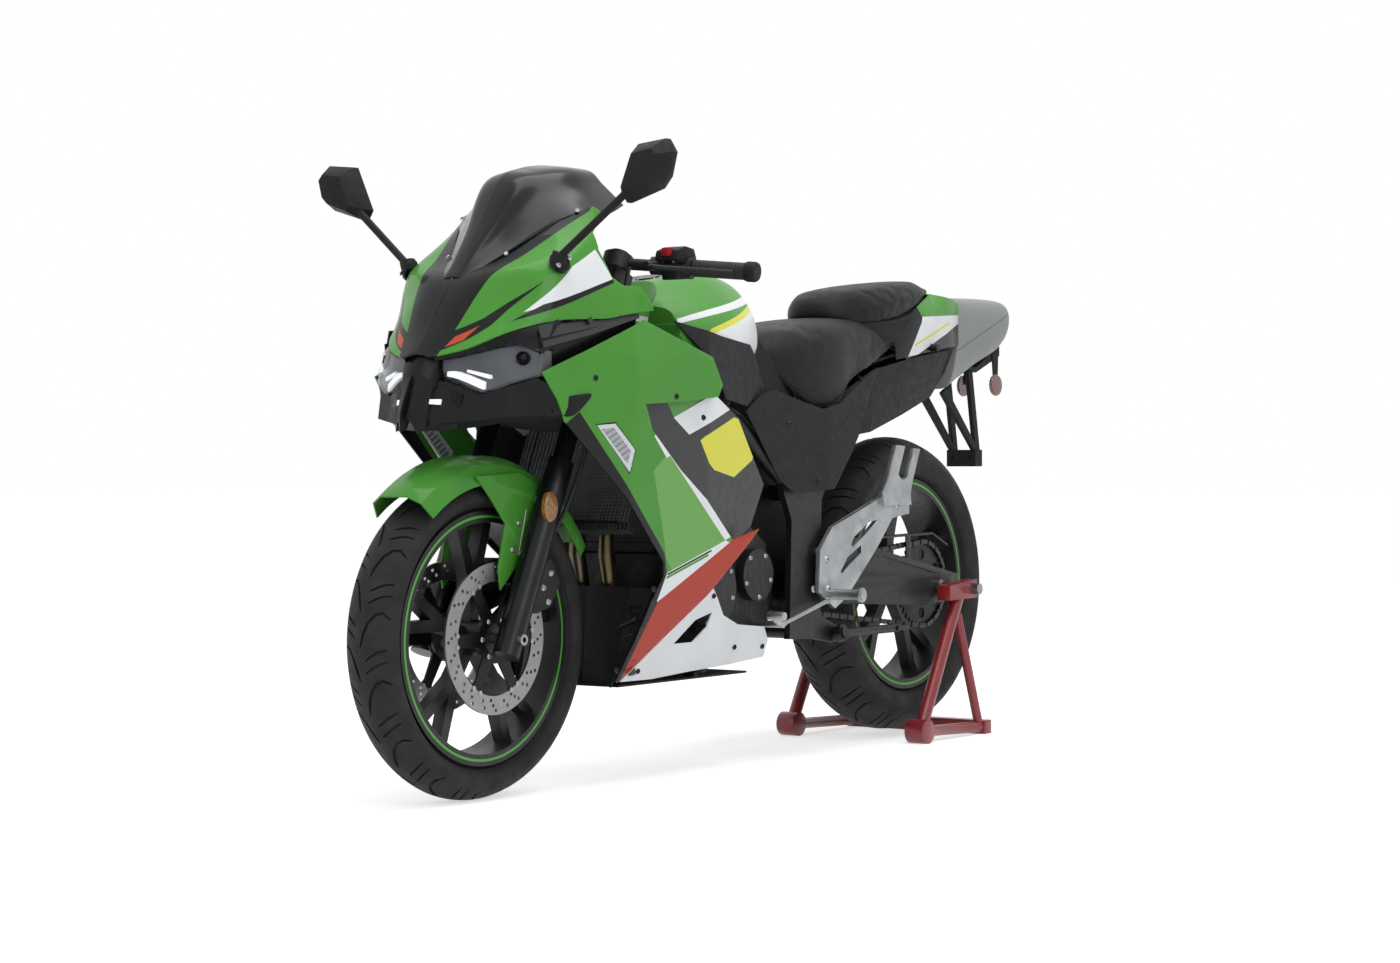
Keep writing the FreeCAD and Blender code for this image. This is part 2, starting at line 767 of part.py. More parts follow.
def pivot_plate():
    outline = [(-777, 590), (-962, 565), (-936, 525), (-930, 300), (-905, 244), (-817, 248),
               (-827, 487)]
    low = size.pivot_plate_inner
    plate = prism_y(outline, low, low + size.pivot_plate)
    hole = rod((-size.pivot_back, low - 5, size.pivot_height),
               (-size.pivot_back, low + 40, size.pivot_height), size.axle_radius)
    return plate.cut(hole)


def head_tube():
    low = size.lower_yoke_height + 30
    high = size.upper_yoke_height - 30
    return rod((steering_x(low), 0, low), (steering_x(high), 0, high), size.head_tube_radius)


def main_frame():
    """Head tube, two bent rails, two pivot plates with their cross tubes, the stand's lug."""
    head = head_tube()
    low = size.lower_yoke_height
    high = size.upper_yoke_height
    bore = rod((steering_x(low), 0, low), (steering_x(high), 0, high),
               size.stem_radius + size.running_gap)
    y = size.pivot_plate_inner + size.pivot_plate / 2
    rail = tube([(steering_x(790), 14, 800), (-420, 105, 755), (-640, y - 4, 690),
                 (-800, y, 575)], size.frame_tube_radius, 120)
    brace = tube([(-430, 107, 748), (-540, 122, 652), (-660, y - 4, 680)], 12, 40)
    plate = pivot_plate()
    pieces = [rail, flip(rail), brace, flip(brace), plate, flip(plate)]
    for x, z in ((-880, 540), (-862, 262)):
        pieces.append(rod((x, -y, z), (x, y, z), 16))
    low = size.pivot_plate_inner - 18
    pieces.append(prism_y([(-880, 250), (-925, 300), (-1016, 262), (-1016, 238), (-996, 232)],
                          low, size.pivot_plate_inner + 1))
    pieces.append(rod(STAND_PIVOT - STAND_AXIS * 32, STAND_PIVOT - STAND_AXIS * 9, 13))
    pieces.append(rod(STAND_PIVOT - STAND_AXIS * 10, STAND_PIVOT + STAND_AXIS * 12,
                      size.stand_pin_radius))
    pieces.append(rod(STAND_PIVOT + STAND_AXIS * 8.5, STAND_PIVOT + STAND_AXIS * 12, 12))
    whole = head.fuse(pieces + frame_brackets()).cut(bore)
    pin = rod(SHOCK_TOP - Vector(0, 40, 0), SHOCK_TOP + Vector(0, 40, 0), size.shock_pin_radius)
    whole = whole.cut(pin)
    return max(whole.Solids, key=lambda piece: piece.Volume)


def cowl_stay():
    """The tube ahead of the head tube that carries the cowl, the dash and the lamps."""
    knee = Vector(-150, 0, 880)
    nose = Vector(85, 0, 780)
    bar = rod(knee - Vector(0, 201, 0), knee + Vector(0, 201, 0), 7)
    lamp_bar = rod(nose - Vector(0, 62, 0), nose + Vector(0, 62, 0), 7)
    pieces = [
        rod((steering_x(790) + 10, 0, 790), knee, 12),
        rod(knee, nose, 9),
        bar.cut(upper_cowl()),
        lamp_bar.cut(headlight()).cut(flip(headlight())),
        rod(nose, nose - Vector(0, 0, 24), 9).cut(chin_cowl()),
        rod(knee, (-190, 0, 1010), 9).cut(dash()),
    ]
    whole = pieces[0].fuse(pieces[1:]).cut(head_tube())
    return max(whole.Solids, key=lambda piece: piece.Volume)


def frame_brackets():
    """Shock ears, tank posts and the stays that the side fairings are screwed to."""
    ear = prism_y([(-862, 540), (-898, 540), (SHOCK_TOP.x - 18, SHOCK_TOP.z),
                   (SHOCK_TOP.x, SHOCK_TOP.z + 18), (SHOCK_TOP.x + 18, SHOCK_TOP.z)],
                  size.shock_eye, size.shock_eye + 8)
    pieces = [ear, flip(ear)]
    tank = fuel_tank()
    fairing = wall_through(FAIRING, size.panel_wall)
    for x, y, z in ((-425, 105, 750), (-620, 118, 695)):
        post = rod((x, y, z), (x, y, z + 120), 10)
        post = post.common(Part.makeBox(60, 60, 120, Vector(x - 30, y - 30, z))).cut(tank)
        post = min(post.Solids, key=lambda piece: piece.BoundBox.ZMin)
        pieces += [post, flip(post)]
    stay = rod((-425, 110, 757), (-425, 400, 757), size.boss_radius).cut(fairing)
    stay = min(stay.Solids, key=lambda piece: piece.BoundBox.YMin)
    hanger = rod((-425, 136, 757), (-378, 136, 688), 7).cut(radiator_unit.Shape)
    hanger = max(hanger.Solids, key=lambda piece: piece.BoundBox.ZMax)
    return pieces + [stay, flip(stay), hanger, flip(hanger)]


def subframe():
    rail = tube([(-700, 104, 655), (-990, 84, 770), (-1480, 52, 856)],
                size.subframe_tube_radius, 150)
    strut = rod((-908, size.pivot_plate_inner - 11, 560), (-1150, 73, 796), 9)
    foot = rod((-910, size.pivot_plate_inner - 20, 560), (-910, size.pivot_plate_inner, 560), 12)
    bridge = rod((-1440, -120, 848), (-1440, 120, 848), 8).cut(tail_cowl())
    bridge = min(bridge.Solids, key=lambda piece: abs(piece.BoundBox.YMin + piece.BoundBox.YMax))
    posts = []
    for x, y, z, seat in ((-955, 86, 756, rider_seat()), (-1100, 77, 786, rider_seat()),
                          (-1340, 61, 826, pillion_seat())):
        seat.translate(Vector(0, 0, -size.running_gap))
        post = rod((x, y, z), (x, y, z + 150), 8).cut(seat)
        posts.append(min(post.Solids, key=lambda piece: piece.BoundBox.ZMin))
    hanger = rod((-1150, 73, 798), (-1150, 108, 769), 7).cut(under_tail())
    hanger = min(hanger.Solids, key=lambda piece: piece.BoundBox.YMin)
    left = rail.fuse([strut, foot, hanger] + posts)
    return left.fuse([flip(left), bridge])



GEARBOX_AT = ("0 - front_sprocket_back", "pivot_height")
SPROCKET_LOW = "chain_line - chain_width / 2 - 4"
SPROCKET_HIGH = "chain_line + chain_width / 2 + 3"


def engine():
    """Crankcase, leaning barrels, head and cam cover, the round side covers and the intakes."""
    body = new_body("engine_body")
    pad(body, "crankcase", "XZ_Plane",
        [(-430, 290), (-440, 430), (-540, 470), (-700, 500), (-790, 440), (-800, 290),
         (-740, 250), (-480, 250)], "crankcase_width", symmetric=True)
    pad(body, "barrels", "XZ_Plane", [(-452, 425), (-414, 566), (-578, 582), (-602, 460)],
        "barrel_width", symmetric=True)
    pad(body, "head", "XZ_Plane", [(-416, 558), (-400, 618), (-572, 638), (-580, 574)],
        "head_width", symmetric=True)
    pad(body, "cam_cover", "XZ_Plane", [(-404, 610), (-420, 664), (-552, 690), (-566, 630)],
        "cam_cover_width", symmetric=True)
    pad(body, "generator_cover", "XZ_Plane", None, "generator_cover_reach",
        "0 - generator_cover_reach", [(-560, 360, 78)])
    pad(body, "generator_cap", "XZ_Plane", None, "generator_cover_reach + 6",
        "0 - generator_cover_reach - 6", [(-560, 360, 46)])
    pad(body, "gearbox_cover", "XZ_Plane", None, "generator_cover_reach - 14",
        "14 - generator_cover_reach", [(-735, 380, 52)])
    pad(body, "clutch_cover", "XZ_Plane", None, "clutch_cover_reach", "0", [(-640, 372, 90)])
    pad(body, "pump_cover", "XZ_Plane", None, "clutch_cover_reach - 12", "0", [(-510, 330, 50)])
    pocket = cross_bar("sprocket_pocket", "front_sprocket_radius + chain_height / 2 + 6",
                       SPROCKET_LOW, SPROCKET_HIGH, *GEARBOX_AT)
    return bored("engine_bored", body, pocket)


def engine_stays():
    fairing = wall_through(FAIRING, size.panel_wall)
    stays = []
    for k, (x, z) in enumerate(((-470, 430), (-640, 268))):
        stay = rod((x, 0, z), (x, 400, z), size.boss_radius).cut(fairing)
        stay = solid("engine_stay_%d" % k, min(stay.Solids, key=lambda piece: piece.BoundBox.YMin))
        stays += [stay, mirrored(stay)]
    return stays


engine_bored = engine()
doc.recompute()


PIPE_BEND = Vector(-880, -140, 206)
PIPE_END = Vector(-985, -190, 251)


def exhaust_pipe():
    pieces = []
    for y in (-36, 36):
        pieces.append(tube([(-413, y, 576), (-366, y, 540), (-361, y, 430), (-384, y, 320),
                            (-440, 0.6 * y, 228), (-560, 0.4 * y - 8, 222)], 17, 34))
    pieces.append(tube([(-550, -8, 222), (-760, -60, 213), PIPE_BEND, PIPE_END], 21, 60))
    return pieces[0].fuse(pieces[1:]).cut(engine_bored.Shape)


def silencer():
    can = rod((-1000, -200, 262), (-1290, -232, 385), 44)
    along = (PIPE_END - PIPE_BEND).normalize()
    neck = rod(PIPE_END, PIPE_END + along * 32, 27)
    tip = rod((-1280, -231, 381), (-1325, -236, 400), 24)
    return can.fuse([neck, tip])



core = box("radiator_fins", "radiator_depth", "radiator_width", "radiator_height",
           "0 - radiator_depth", "0 - radiator_width / 2", "0")
end_tank = box("radiator_tank", "radiator_depth + 6", "radiator_tank", "radiator_height + 10",
               "0 - radiator_depth - 3", "radiator_width / 2", "0 - 5")
foot_bar = box("radiator_foot", "20", "radiator_width + 2 * radiator_tank", "14",
               "0 - 24", "0 - radiator_width / 2 - radiator_tank", "0 - 19")
radiator_unit = fused("radiator_unit", core, end_tank, mirrored(end_tank), foot_bar)
radiator_unit.Placement = Placement(Vector(-283, 0, 500), Rotation(Vector(0, 1, 0), -size.rake))
doc.recompute()
node("radiator", radiator_unit)

# Bodywork. Its left half is drawn and mirrored.

COWL = [
    (140, [(0, 803), (15, 801), (32, 796)]),
    (105, [(0, 850), (38, 842), (92, 812)]),
    (45, [(0, 937), (75, 925), (142, 842)]),
    (-35, [(65, 984), (165, 962), (184, 862)]),
    (-150, [(136, 1063), (183, 1000), (203, 868)]),
    (-200, [(163, 1056), (193, 960), (211, 877)]),
    (-270, [(214, 899), (218, 893), (220, 886)]),
]
COWL_REAR = [(-206, 930), (-175, 945), (-151, 992), (-153, 1025), (-190, 1056), (-230, 1110),
             (-330, 1000)]


def upper_cowl():
    left = skin(COWL, size.panel_wall).cut(prism_y(COWL_REAR, 0, 300))
    return left.fuse(flip(left))


def windscreen():
    sections = [
        (42, [(0, 941), (14, 940), (28, 938)]),
        (-35, [(0, 1040), (40, 1020), (66, 988)]),
        (-97, [(0, 1128), (62, 1090), (102, 1030)]),
        (-150, [(0, 1150), (85, 1115), (136, 1067)]),
        (-216, [(0, 1162), (95, 1125), (152, 1070)]),
        (-286, [(0, 1163), (82, 1139), (140, 1085)]),
    ]
    left = skin(sections, size.panel_wall).cut(skin(COWL, size.panel_wall))
    return left.fuse(flip(left))


def across(sections):
    """A solid through sections (y, [(x, z), ...]) taken across the bike."""
    wires = []
    for y, outline in sections:
        corners = [Vector(x, y, z) for x, z in outline]
        wires.append(Part.makePolygon(corners + corners[:1]))
    return sections_loft(wires)


def headlight():
    return across([
        (40, [(124, 792), (124, 768), (70, 768), (70, 792)]),
        (105, [(88, 808), (96, 734), (40, 734), (40, 808)]),
        (150, [(44, 822), (70, 748), (10, 748), (10, 822)]),
        (188, [(20, 806), (33, 762), (-10, 762), (-10, 806)]),
    ])


FAIRING = [
    (180, [(60, 85), (-200, 118), (-700, 124)]),
    (350, [(60, 140), (-200, 180), (-700, 180)]),
    (450, [(60, 170), (-200, 203), (-700, 198)]),
    (560, [(60, 184), (-200, 215), (-700, 206)]),
    (700, [(60, 194), (-200, 226), (-700, 220)]),
    (800, [(60, 194), (-200, 232), (-700, 226)]),
    (890, [(60, 186), (-200, 220), (-700, 216)]),
]
SIDE_OUTLINE = [
    (30, 768), (-236, 868), (-443, 804), (-480, 752), (-467, 729), (-352, 719), (-235, 714),
    (-261, 666), (-358, 592), (-450, 535), (-545, 456), (-634, 475), (-496, 358), (-275, 197),
    (-269, 201), (-294, 277), (-311, 348), (-336, 395), (-329, 420), (-289, 454), (-192, 545),
    (-26, 682), (-8, 719),
]


def chin_cowl():
    left = across([
        (0, [(140, 764), (165, 690), (120, 666), (60, 690), (60, 764)]),
        (60, [(118, 750), (130, 680), (100, 668), (30, 690), (40, 750)]),
        (105, [(90, 730), (100, 684), (60, 676), (10, 690), (10, 730)]),
        (150, [(64, 744), (74, 690), (40, 684), (-20, 690), (-20, 744)]),
        (188, [(33, 758), (4, 692), (-30, 688), (-60, 696), (-40, 740)]),
        (218, [(-30, 726), (-50, 716), (-60, 714), (-78, 722), (-70, 728)]),
    ])
    left = left.cut(panel(SIDE_OUTLINE, FAIRING, size.panel_wall))
    left = max(left.Solids, key=lambda piece: piece.Volume)
    return left.fuse(flip(left))


def intake_panel():
    sections = [
        (12, [(178, 852), (183, 830), (188, 812)]),
        (-110, [(192, 862), (196, 850), (200, 838)]),
        (-235, [(210, 880), (212, 876), (214, 872)]),
    ]
    screw = rod((-110, 186, 864), (-110, 198, 864), 6).cut(skin(COWL, size.panel_wall))
    screw = max(screw.Solids, key=lambda piece: piece.Volume)
    return skin(sections, size.panel_wall).fuse(screw)


node("upper_cowl", solid("cowl_shell", upper_cowl()))
node("windscreen", solid("screen_shell", windscreen()))
node("chin_cowl", solid("chin_shell", chin_cowl()))
intake_left = solid("intake_left", intake_panel())

LAMP_OUTLINE = [(-104, 677), (-154, 681), (-213, 630), (-198, 585)]
INNER_WALL = [
    (420, [(-200, 184), (-470, 182), (-700, 158)]),
    (560, [(-200, 200), (-470, 196), (-700, 172)]),
    (760, [(-200, 209), (-470, 207), (-700, 177)]),
]
INNER_OUTLINE = [(-225, 736), (-455, 748), (-580, 690), (-690, 560), (-650, 480), (-560, 436),
                 (-345, 545)]
BELLY_OUTLINE = [
    (-284, 198), (-392, 282), (-505, 364), (-560, 310), (-620, 288), (-713, 279), (-737, 252),
    (-737, 218), (-621, 209), (-499, 204), (-380, 197),
]
BELLY_HOLE = [(-420, 262), (-470, 305), (-520, 318), (-515, 290), (-480, 262)]


def side_fairing():
    shell = panel(SIDE_OUTLINE, FAIRING, size.panel_wall).cut(prism_y(LAMP_OUTLINE, 100, 300))
    inner = wall_through(INNER_WALL, size.panel_wall)
    studs = [boss.cut(inner) for boss in bosses(FAIRING, 40, [(-330, 729), (-420, 540)])]
    return shell.fuse([nearest_to_wall(stud) for stud in studs])


def belly_pan():
    return panel(BELLY_OUTLINE, FAIRING, size.panel_wall).cut(prism_y(BELLY_HOLE, 50, 300))


def indicator():
    gap = size.running_gap
    middle = Vector(-167, 0, 643)
    outline = []
    for x, z in LAMP_OUTLINE:
        way = Vector(x, 0, z) - middle
        corner = middle + way * (1 - gap / 20)
        outline.append((corner.x, corner.z))
    return wall_through(FAIRING, 2 * size.panel_wall).common(prism_y(outline, 100, 300))


def lower_grille():
    """The belly's black nose: a wall across the front and the floor behind it."""
    front = [
        (188, [(-268, 112), (-300, 90), (-330, 0)]),
        (290, [(-302, 150), (-325, 100), (-338, 0)]),
        (372, [(-322, 176), (-340, 110), (-345, 0)]),
    ]
    wires = []
    for z, line in front:
        outer = line + [(x, -y) for x, y in reversed(line) if y > 0]
        corners = [Vector(x, y, z) for x, y in outer + inset(outer, 4)[::-1]]
        wires.append(Part.makePolygon(corners + corners[:1]))
    wall = sections_loft(wires)
    floor = Part.makeBox(420, 216, 4, Vector(-720, -108, 186))
    tabs = []
    for x, y, z in ((-550, 100, 206), (-322, 120, 330)):
        tab = rod((x, y, z), (x, 400, z), size.boss_radius)
        if z < 290:
            tab = tab.fuse(Part.makeBox(16, 24, 22, Vector(x - 8, y - 16, 186)))
        tab = tab.cut(wall_through(FAIRING, size.panel_wall))
        tab = min(tab.Solids, key=lambda piece: piece.BoundBox.YMin)
        tabs += [tab, flip(tab)]
    return wall.fuse([floor] + tabs)


fairing_left = solid("side_fairing_shell", side_fairing())
node("side_fairings", fairing_left, mirrored(fairing_left))
belly_left = solid("belly_pan_shell", belly_pan())
node("belly_pans", belly_left, mirrored(belly_left))
inner_left = solid("inner_panel_left", panel(INNER_OUTLINE, INNER_WALL, size.panel_wall))
node("inner_panels", inner_left, mirrored(inner_left), intake_left, mirrored(intake_left))
headlight_left = solid("headlight_left", headlight())
indicator_left = solid("indicator_left", indicator())
node("front_lamps", headlight_left, mirrored(headlight_left), indicator_left,
     mirrored(indicator_left))
node("lower_grille", solid("grille_shell", lower_grille()))

# Tank, seats, tail.

TANK = [
    (-385, [(0, 905), (140, 900), (182, 878), (180, 835), (0, 835)]),
    (-440, [(0, 940), (85, 935), (180, 880), (172, 800), (0, 800)]),
    (-600, [(0, 976), (90, 966), (170, 880), (150, 790), (0, 790)]),
    (-720, [(0, 968), (80, 952), (132, 880), (118, 800), (0, 800)]),
    (-757, [(0, 925), (60, 915), (104, 872), (98, 830), (0, 830)]),
]


LID_NORMAL = Vector(36, 0, 160).normalize()
LID_SEAT = Vector(-545, 0, 963.6) - LID_NORMAL * 4


def fuel_tank():
    clearance = Part.makeCylinder(140, 400, Vector(steering_x(750), 0, 750),
                                  Vector(-math.sin(math.radians(size.rake)), 0,
                                         math.cos(math.radians(size.rake))))
    tank = hull(TANK).cut(clearance)
    recess = Part.makeCylinder(size.lid_radius + 1.5, 60, LID_SEAT, LID_NORMAL)
    return tank.cut(recess)


def fuel_lid():
    """A flat cap with a raised ring for the key's flap."""
    cap = doc.addObject("Part::Cylinder", "lid_cap")
    ring = doc.addObject("Part::Cylinder", "lid_ring")
    cap.setExpression("Radius", "sizes.lid_radius")
    ring.setExpression("Radius", "sizes.lid_radius - 16")
    cap.setExpression("Height", "sizes.lid_thickness")
    ring.setExpression("Height", "sizes.lid_thickness + 2")
    seat = Placement(LID_SEAT + LID_NORMAL * 0.1, Rotation(Vector(0, 0, 1), LID_NORMAL))
    cap.Placement = seat
    ring.Placement = seat
    return fused("lid_plate", cap, ring)


def tank_cover():
    levels = [
        (690, [(-330, 208), (-470, 212), (-560, 190), (-700, 155), (-760, 150)]),
        (900, [(-330, 200), (-470, 198), (-560, 182), (-700, 152), (-760, 142)]),
    ]
    outline = [(-363, 868), (-689, 812), (-728, 756), (-640, 716), (-536, 726), (-467, 803)]
    shell = panel(outline, levels, size.panel_wall)
    tank = fuel_tank()
    studs = [boss.cut(tank) for boss in bosses(levels, 60, [(-450, 835), (-610, 810)])]
    return shell.fuse([nearest_to_wall(stud) for stud in studs])


def side_cover():
    levels = [
        (530, [(-600, 166), (-950, 158), (-1200, 134)]),
        (700, [(-600, 168), (-950, 160), (-1200, 132)]),
        (800, [(-600, 160), (-950, 158), (-1200, 126)]),
    ]
    outline = [(-645, 702), (-730, 740), (-804, 748), (-857, 724), (-923, 706), (-1000, 724),
               (-1070, 758), (-1150, 772), (-1090, 650), (-1037, 560), (-969, 541), (-906, 546),
               (-819, 607)]
    shell = panel(outline, levels, size.panel_wall)
    frame = main_frame()
    studs = [boss.cut(frame) for boss in bosses(levels, 40, [(-900, 556), (-664, 700)])]
    return shell.fuse([nearest_to_wall(stud) for stud in studs])


def rider_seat():
    sections = []
    for x, half, top, bottom in ((-765, 92, 848, 818), (-850, 125, 868, 748),
                                 (-930, 140, 880, 716), (-1010, 142, 892, 726),
                                 (-1090, 130, 900, 772), (-1200, 116, 898, 808),
                                 (-1300, 90, 896, 864)):
        rim_z = max(bottom + 4, min(top - 40, 0.5 * (top + bottom)))
        under = max(bottom, top - 60)
        sections.append((x, [(0, top), (0.62 * half, top - 5), (half, rim_z), (0.97 * half, bottom),
                             (0.86 * half, bottom), (0.8 * half, under - 0.1), (0, under)]))
    return hull(sections)


def pillion_seat():
    sections = []
    for x, half, top, bottom in ((-975, 80, 926, 903), (-1060, 112, 950, 906),
                                 (-1200, 118, 972, 908), (-1300, 112, 986, 914),
                                 (-1440, 92, 998, 968), (-1515, 60, 1001, 984)):
        sections.append((x, [(0, top), (0.7 * half, top - 6), (half, bottom + 8),
                             (0.9 * half, bottom), (0, bottom)]))
    return hull(sections)


def tail_cowl():
    sections = [
        (-1270, [(108, 860), (116, 846), (118, 818)]),
        (-1360, [(104, 925), (114, 895), (112, 830)]),
        (-1450, [(92, 964), (104, 915), (100, 842)]),
        (-1525, [(0, 980), (88, 962), (92, 850)]),
        (-1598, [(0, 968), (76, 950), (76, 856)]),
    ]
    left = skin(sections, size.panel_wall)
    return left.fuse(flip(left))


def tail_end():
    return hull([
        (-1598, [(0, 965), (60, 960), (76, 930), (72, 850), (50, 770), (0, 760)]),
        (-1720, [(0, 968), (58, 962), (76, 925), (66, 850), (45, 818), (0, 814)]),
        (-1836, [(0, 968), (52, 962), (72, 935), (68, 895), (48, 870), (0, 866)]),
    ])


def tail_lamp():
    return hull([
        (-1836, [(0, 948), (50, 944), (56, 930), (52, 900), (40, 888), (0, 886)]),
        (-1846, [(0, 944), (46, 940), (50, 928), (47, 903), (37, 892), (0, 890)]),
    ])


def under_tail():
    sections = [
        (-1060, 110, 742, 650, 104),
        (-1200, 105, 796, 664, 96),
        (-1360, 95, 822, 702, 76),
        (-1520, 80, 842, 742, 50),
        (-1590, 66, 846, 800, 46),
    ]
    outer = []
    hollow = []
    wall = size.panel_wall
    for x, half, top, bottom, keel in sections:
        outer.append((x, [(0, top), (half, top), (keel, bottom), (0, bottom)]))
        hollow.append((x, [(0, top + 20), (half - wall, top + 20), (half - wall, top),
                           (keel - wall, bottom + wall), (0, bottom + wall)]))
    return hull(outer).cut(hull(hollow))


node("fuel_tank", solid("tank_shell", fuel_tank()))
node("fuel_lid", fuel_lid())
node("rider_seat", solid("rider_pad", rider_seat()))
node("pillion_seat", solid("pillion_pad", pillion_seat()))
node("tail_cowl", solid("tail_shell", tail_cowl()))
node("tail_end", solid("tail_end_shell", tail_end()))
node("tail_lamp", solid("tail_lens", tail_lamp()))
node("under_tail", solid("under_tail_shell", under_tail()))


def plate_bracket(tail):
    """A mounting plate under the tail and a V of two arms down to the lamp block."""
    front_arm = prism_y([(-1600, 752), (-1618, 762), (-1758, 622), (-1738, 622)], 24, 34)
    rear_arm = prism_y([(-1712, 806), (-1730, 806), (-1762, 622), (-1744, 622)], 24, 34)
    arms = [front_arm, flip(front_arm), rear_arm, flip(rear_arm)]
    top = prism_y([(-1700, 806), (-1700, 812), (-1740, 812), (-1846, 862), (-1846, 840),
                   (-1740, 800)], -38, 38)
    block = Part.makeBox(30, 76, 38, Vector(-1765, -38, 586))
    whole = block.fuse(arms + [top]).cut(tail)
    half = size.plate_hole_spacing / 2
    for y in (-half, half):
        whole = whole.cut(rod((-1780, y, 605), (-1720, y, 605), size.plate_hole_radius))
    return whole


node("plate_bracket", solid("bracket_weldment", plate_bracket(tail_end())))

# Swingarm, shock, rear axle, chain-side and brake-side pieces.


SWINGARM_OUTER = "swingarm_inner + swingarm_beam"


def swingarm():
    """Two beams on a pivot tube, the shock's cross tube, and the guard over the chain."""
    rear = -size.wheelbase
    top = size.guard_height
    outline = [(-880, 372), (-900, 385), (-1000, 432), (-1195, 414), (rear - 95, 352),
               (rear - 95, 298), (rear + 52, 290), (-1095, 302), (-960, 312), (-890, 318)]
    beam = side_plate("swingarm_beam_left", outline, "swingarm_inner", SWINGARM_OUTER,
                      [(rear, REAR_AXLE_HEIGHT, size.axle_radius),
                       (rear - size.spool_back, size.spool_height, 6)])
    tunnel = [(-1195, 402), (-1020, 416), (-1000, 404), (-1010, 388), (-1180, 376), (rear - 10, 356)]
    recess = side_plate("beam_recess", tunnel, SWINGARM_OUTER + " - 3", SWINGARM_OUTER + " + 5")
    beam = bored("swingarm_beam_pressed", beam, recess)
    guard = side_plate("chain_guard", [
        (-1080, top - 4), (-1080, top), (rear - 30, top + 5), (rear - 92, top - 22),
        (rear - 94, top - 27), (rear - 30, top)], "swingarm_inner - 21", "swingarm_inner + 3")
    feet = [side_plate("guard_foot_%d" % k, [(x, low), (x - 18, low), (x - 18, top + 1),
                                             (x, top + 1)], "swingarm_inner", "swingarm_inner + 3")
            for k, x, low in ((0, -1100, 410), (1, -1330, 375))]
    cross = cross_bar("swingarm_pivot_tube", "28", "0 - swingarm_inner - 2", "swingarm_inner + 2",
                      "0 - pivot_back", "pivot_height")
    brace = cross_bar("swingarm_brace", "shock_foot_tube", "0 - swingarm_inner - 2",
                      "swingarm_inner + 2", "0 - shock_foot_back", "shock_foot_height")
    pin = cross_bar("swingarm_pivot_bore", "axle_radius", "0 - 2 * swingarm_inner",
                    "2 * swingarm_inner", "0 - pivot_back", "pivot_height")
    joined = fused("swingarm_joined", beam, mirrored(beam), cross, brace, guard, *feet)
    return bored("swingarm_weldment", joined, pin)


swing = swingarm()
doc.recompute()


def shock():
    """Held between the frame's ears by its bolt, and on the swingarm's cross tube."""
    way = SHOCK_TOP - SHOCK_FOOT
    body = rod(SHOCK_FOOT, SHOCK_TOP, 13)
    spring = rod(SHOCK_FOOT + way * 0.2, SHOCK_FOOT + way * 0.86, 27)
    half = size.shock_eye
    eye = rod(SHOCK_TOP - Vector(0, half, 0), SHOCK_TOP + Vector(0, half, 0), 15)
    bolt = rod(SHOCK_TOP - Vector(0, half + 14, 0), SHOCK_TOP + Vector(0, half + 14, 0),
               size.shock_pin_radius)
    return body.fuse([spring, eye, bolt]).cut(swing.Shape)


node("swingarm", swing)
node("shock", solid("shock_unit", shock()))


def rearset():
    """The cast foot-rest bracket, its rider's peg, and the pillion's forked peg folded up."""
    outline = [(-1239, 527), (-1137, 532), (-1067, 508), (-993, 487), (-942, 470), (-897, 424),
               (-891, 340), (-951, 304), (-997, 327), (-1054, 375), (-1113, 424), (-1172, 483),
               (-1238, 491)]
    slots = [[(-1012, 433), (-1024, 448), (-1078, 476), (-1113, 481), (-1067, 452), (-1018, 427)],
             [(-972, 378), (-998, 407), (-1049, 430), (-1050, 414), (-1003, 390), (-976, 374)]]
    plate = side_plate("foot_rest_casting", outline, "bracket_inner",
                       "bracket_inner + bracket_plate", slots=slots)
    forked = [(-1125, 510), (-1118, 536), (-1144, 570), (-1175, 636), (-1208, 634), (-1180, 574),
              (-1196, 562), (-1216, 568), (-1246, 629), (-1268, 627), (-1238, 562), (-1228, 533),
              (-1232, 510)]
    pillion_peg = side_plate("pillion_peg", forked, "bracket_inner + 8", "bracket_inner + 20")
    spacer = cross_bar("bracket_spacer", "9", "pivot_plate_inner + pivot_plate",
                       "bracket_inner + 2", "0 - 920", "420")
    peg = cross_bar("foot_peg", "11", "bracket_inner + 2", "bracket_inner + 92", "0 - 930", "334")
    stop = cross_bar("foot_peg_stop", "15", "bracket_inner + 84", "bracket_inner + 90",
                     "0 - 930", "334")
    return fused("rearset_left", plate, pillion_peg, spacer, peg, stop)


def gear_linkage():
    """The gear lever on its shaft out of the crankcase, and the rod back to the bracket."""
    shaft = rod((-740, size.crankcase_width / 2, 283), (-740, 184, 283), 7)
    lever = rod((-740, 178, 283), (-700, 182, 302), 6)
    toe = rod((-700, 176, 302), (-700, 214, 302), 8)
    link = rod((-756, 178, 286), (-920, 172, 322), 4.5)
    bolt = rod((-920, 160, 322), (-920, 178, 322), 7)
    return shaft.fuse([rod((-740, 178, 283), (-756, 178, 286), 6), lever, toe, link, bolt])


def brake_pedal():
    arm = tube([(-925, -174, 322), (-870, -178, 290), (-790, -182, 292)], 6, 20)
    toe = rod((-790, -172, 292), (-790, -206, 292), 8)
    bolt = rod((-925, -160, 322), (-925, -180, 322), 9)
    return arm.fuse([toe, bolt])


rearset_left = rearset()
node("rearsets", fused("gear_side", rearset_left, solid("gear_linkage", gear_linkage())),
     fused("brake_side", mirrored(rearset_left), solid("brake_pedal", brake_pedal())))


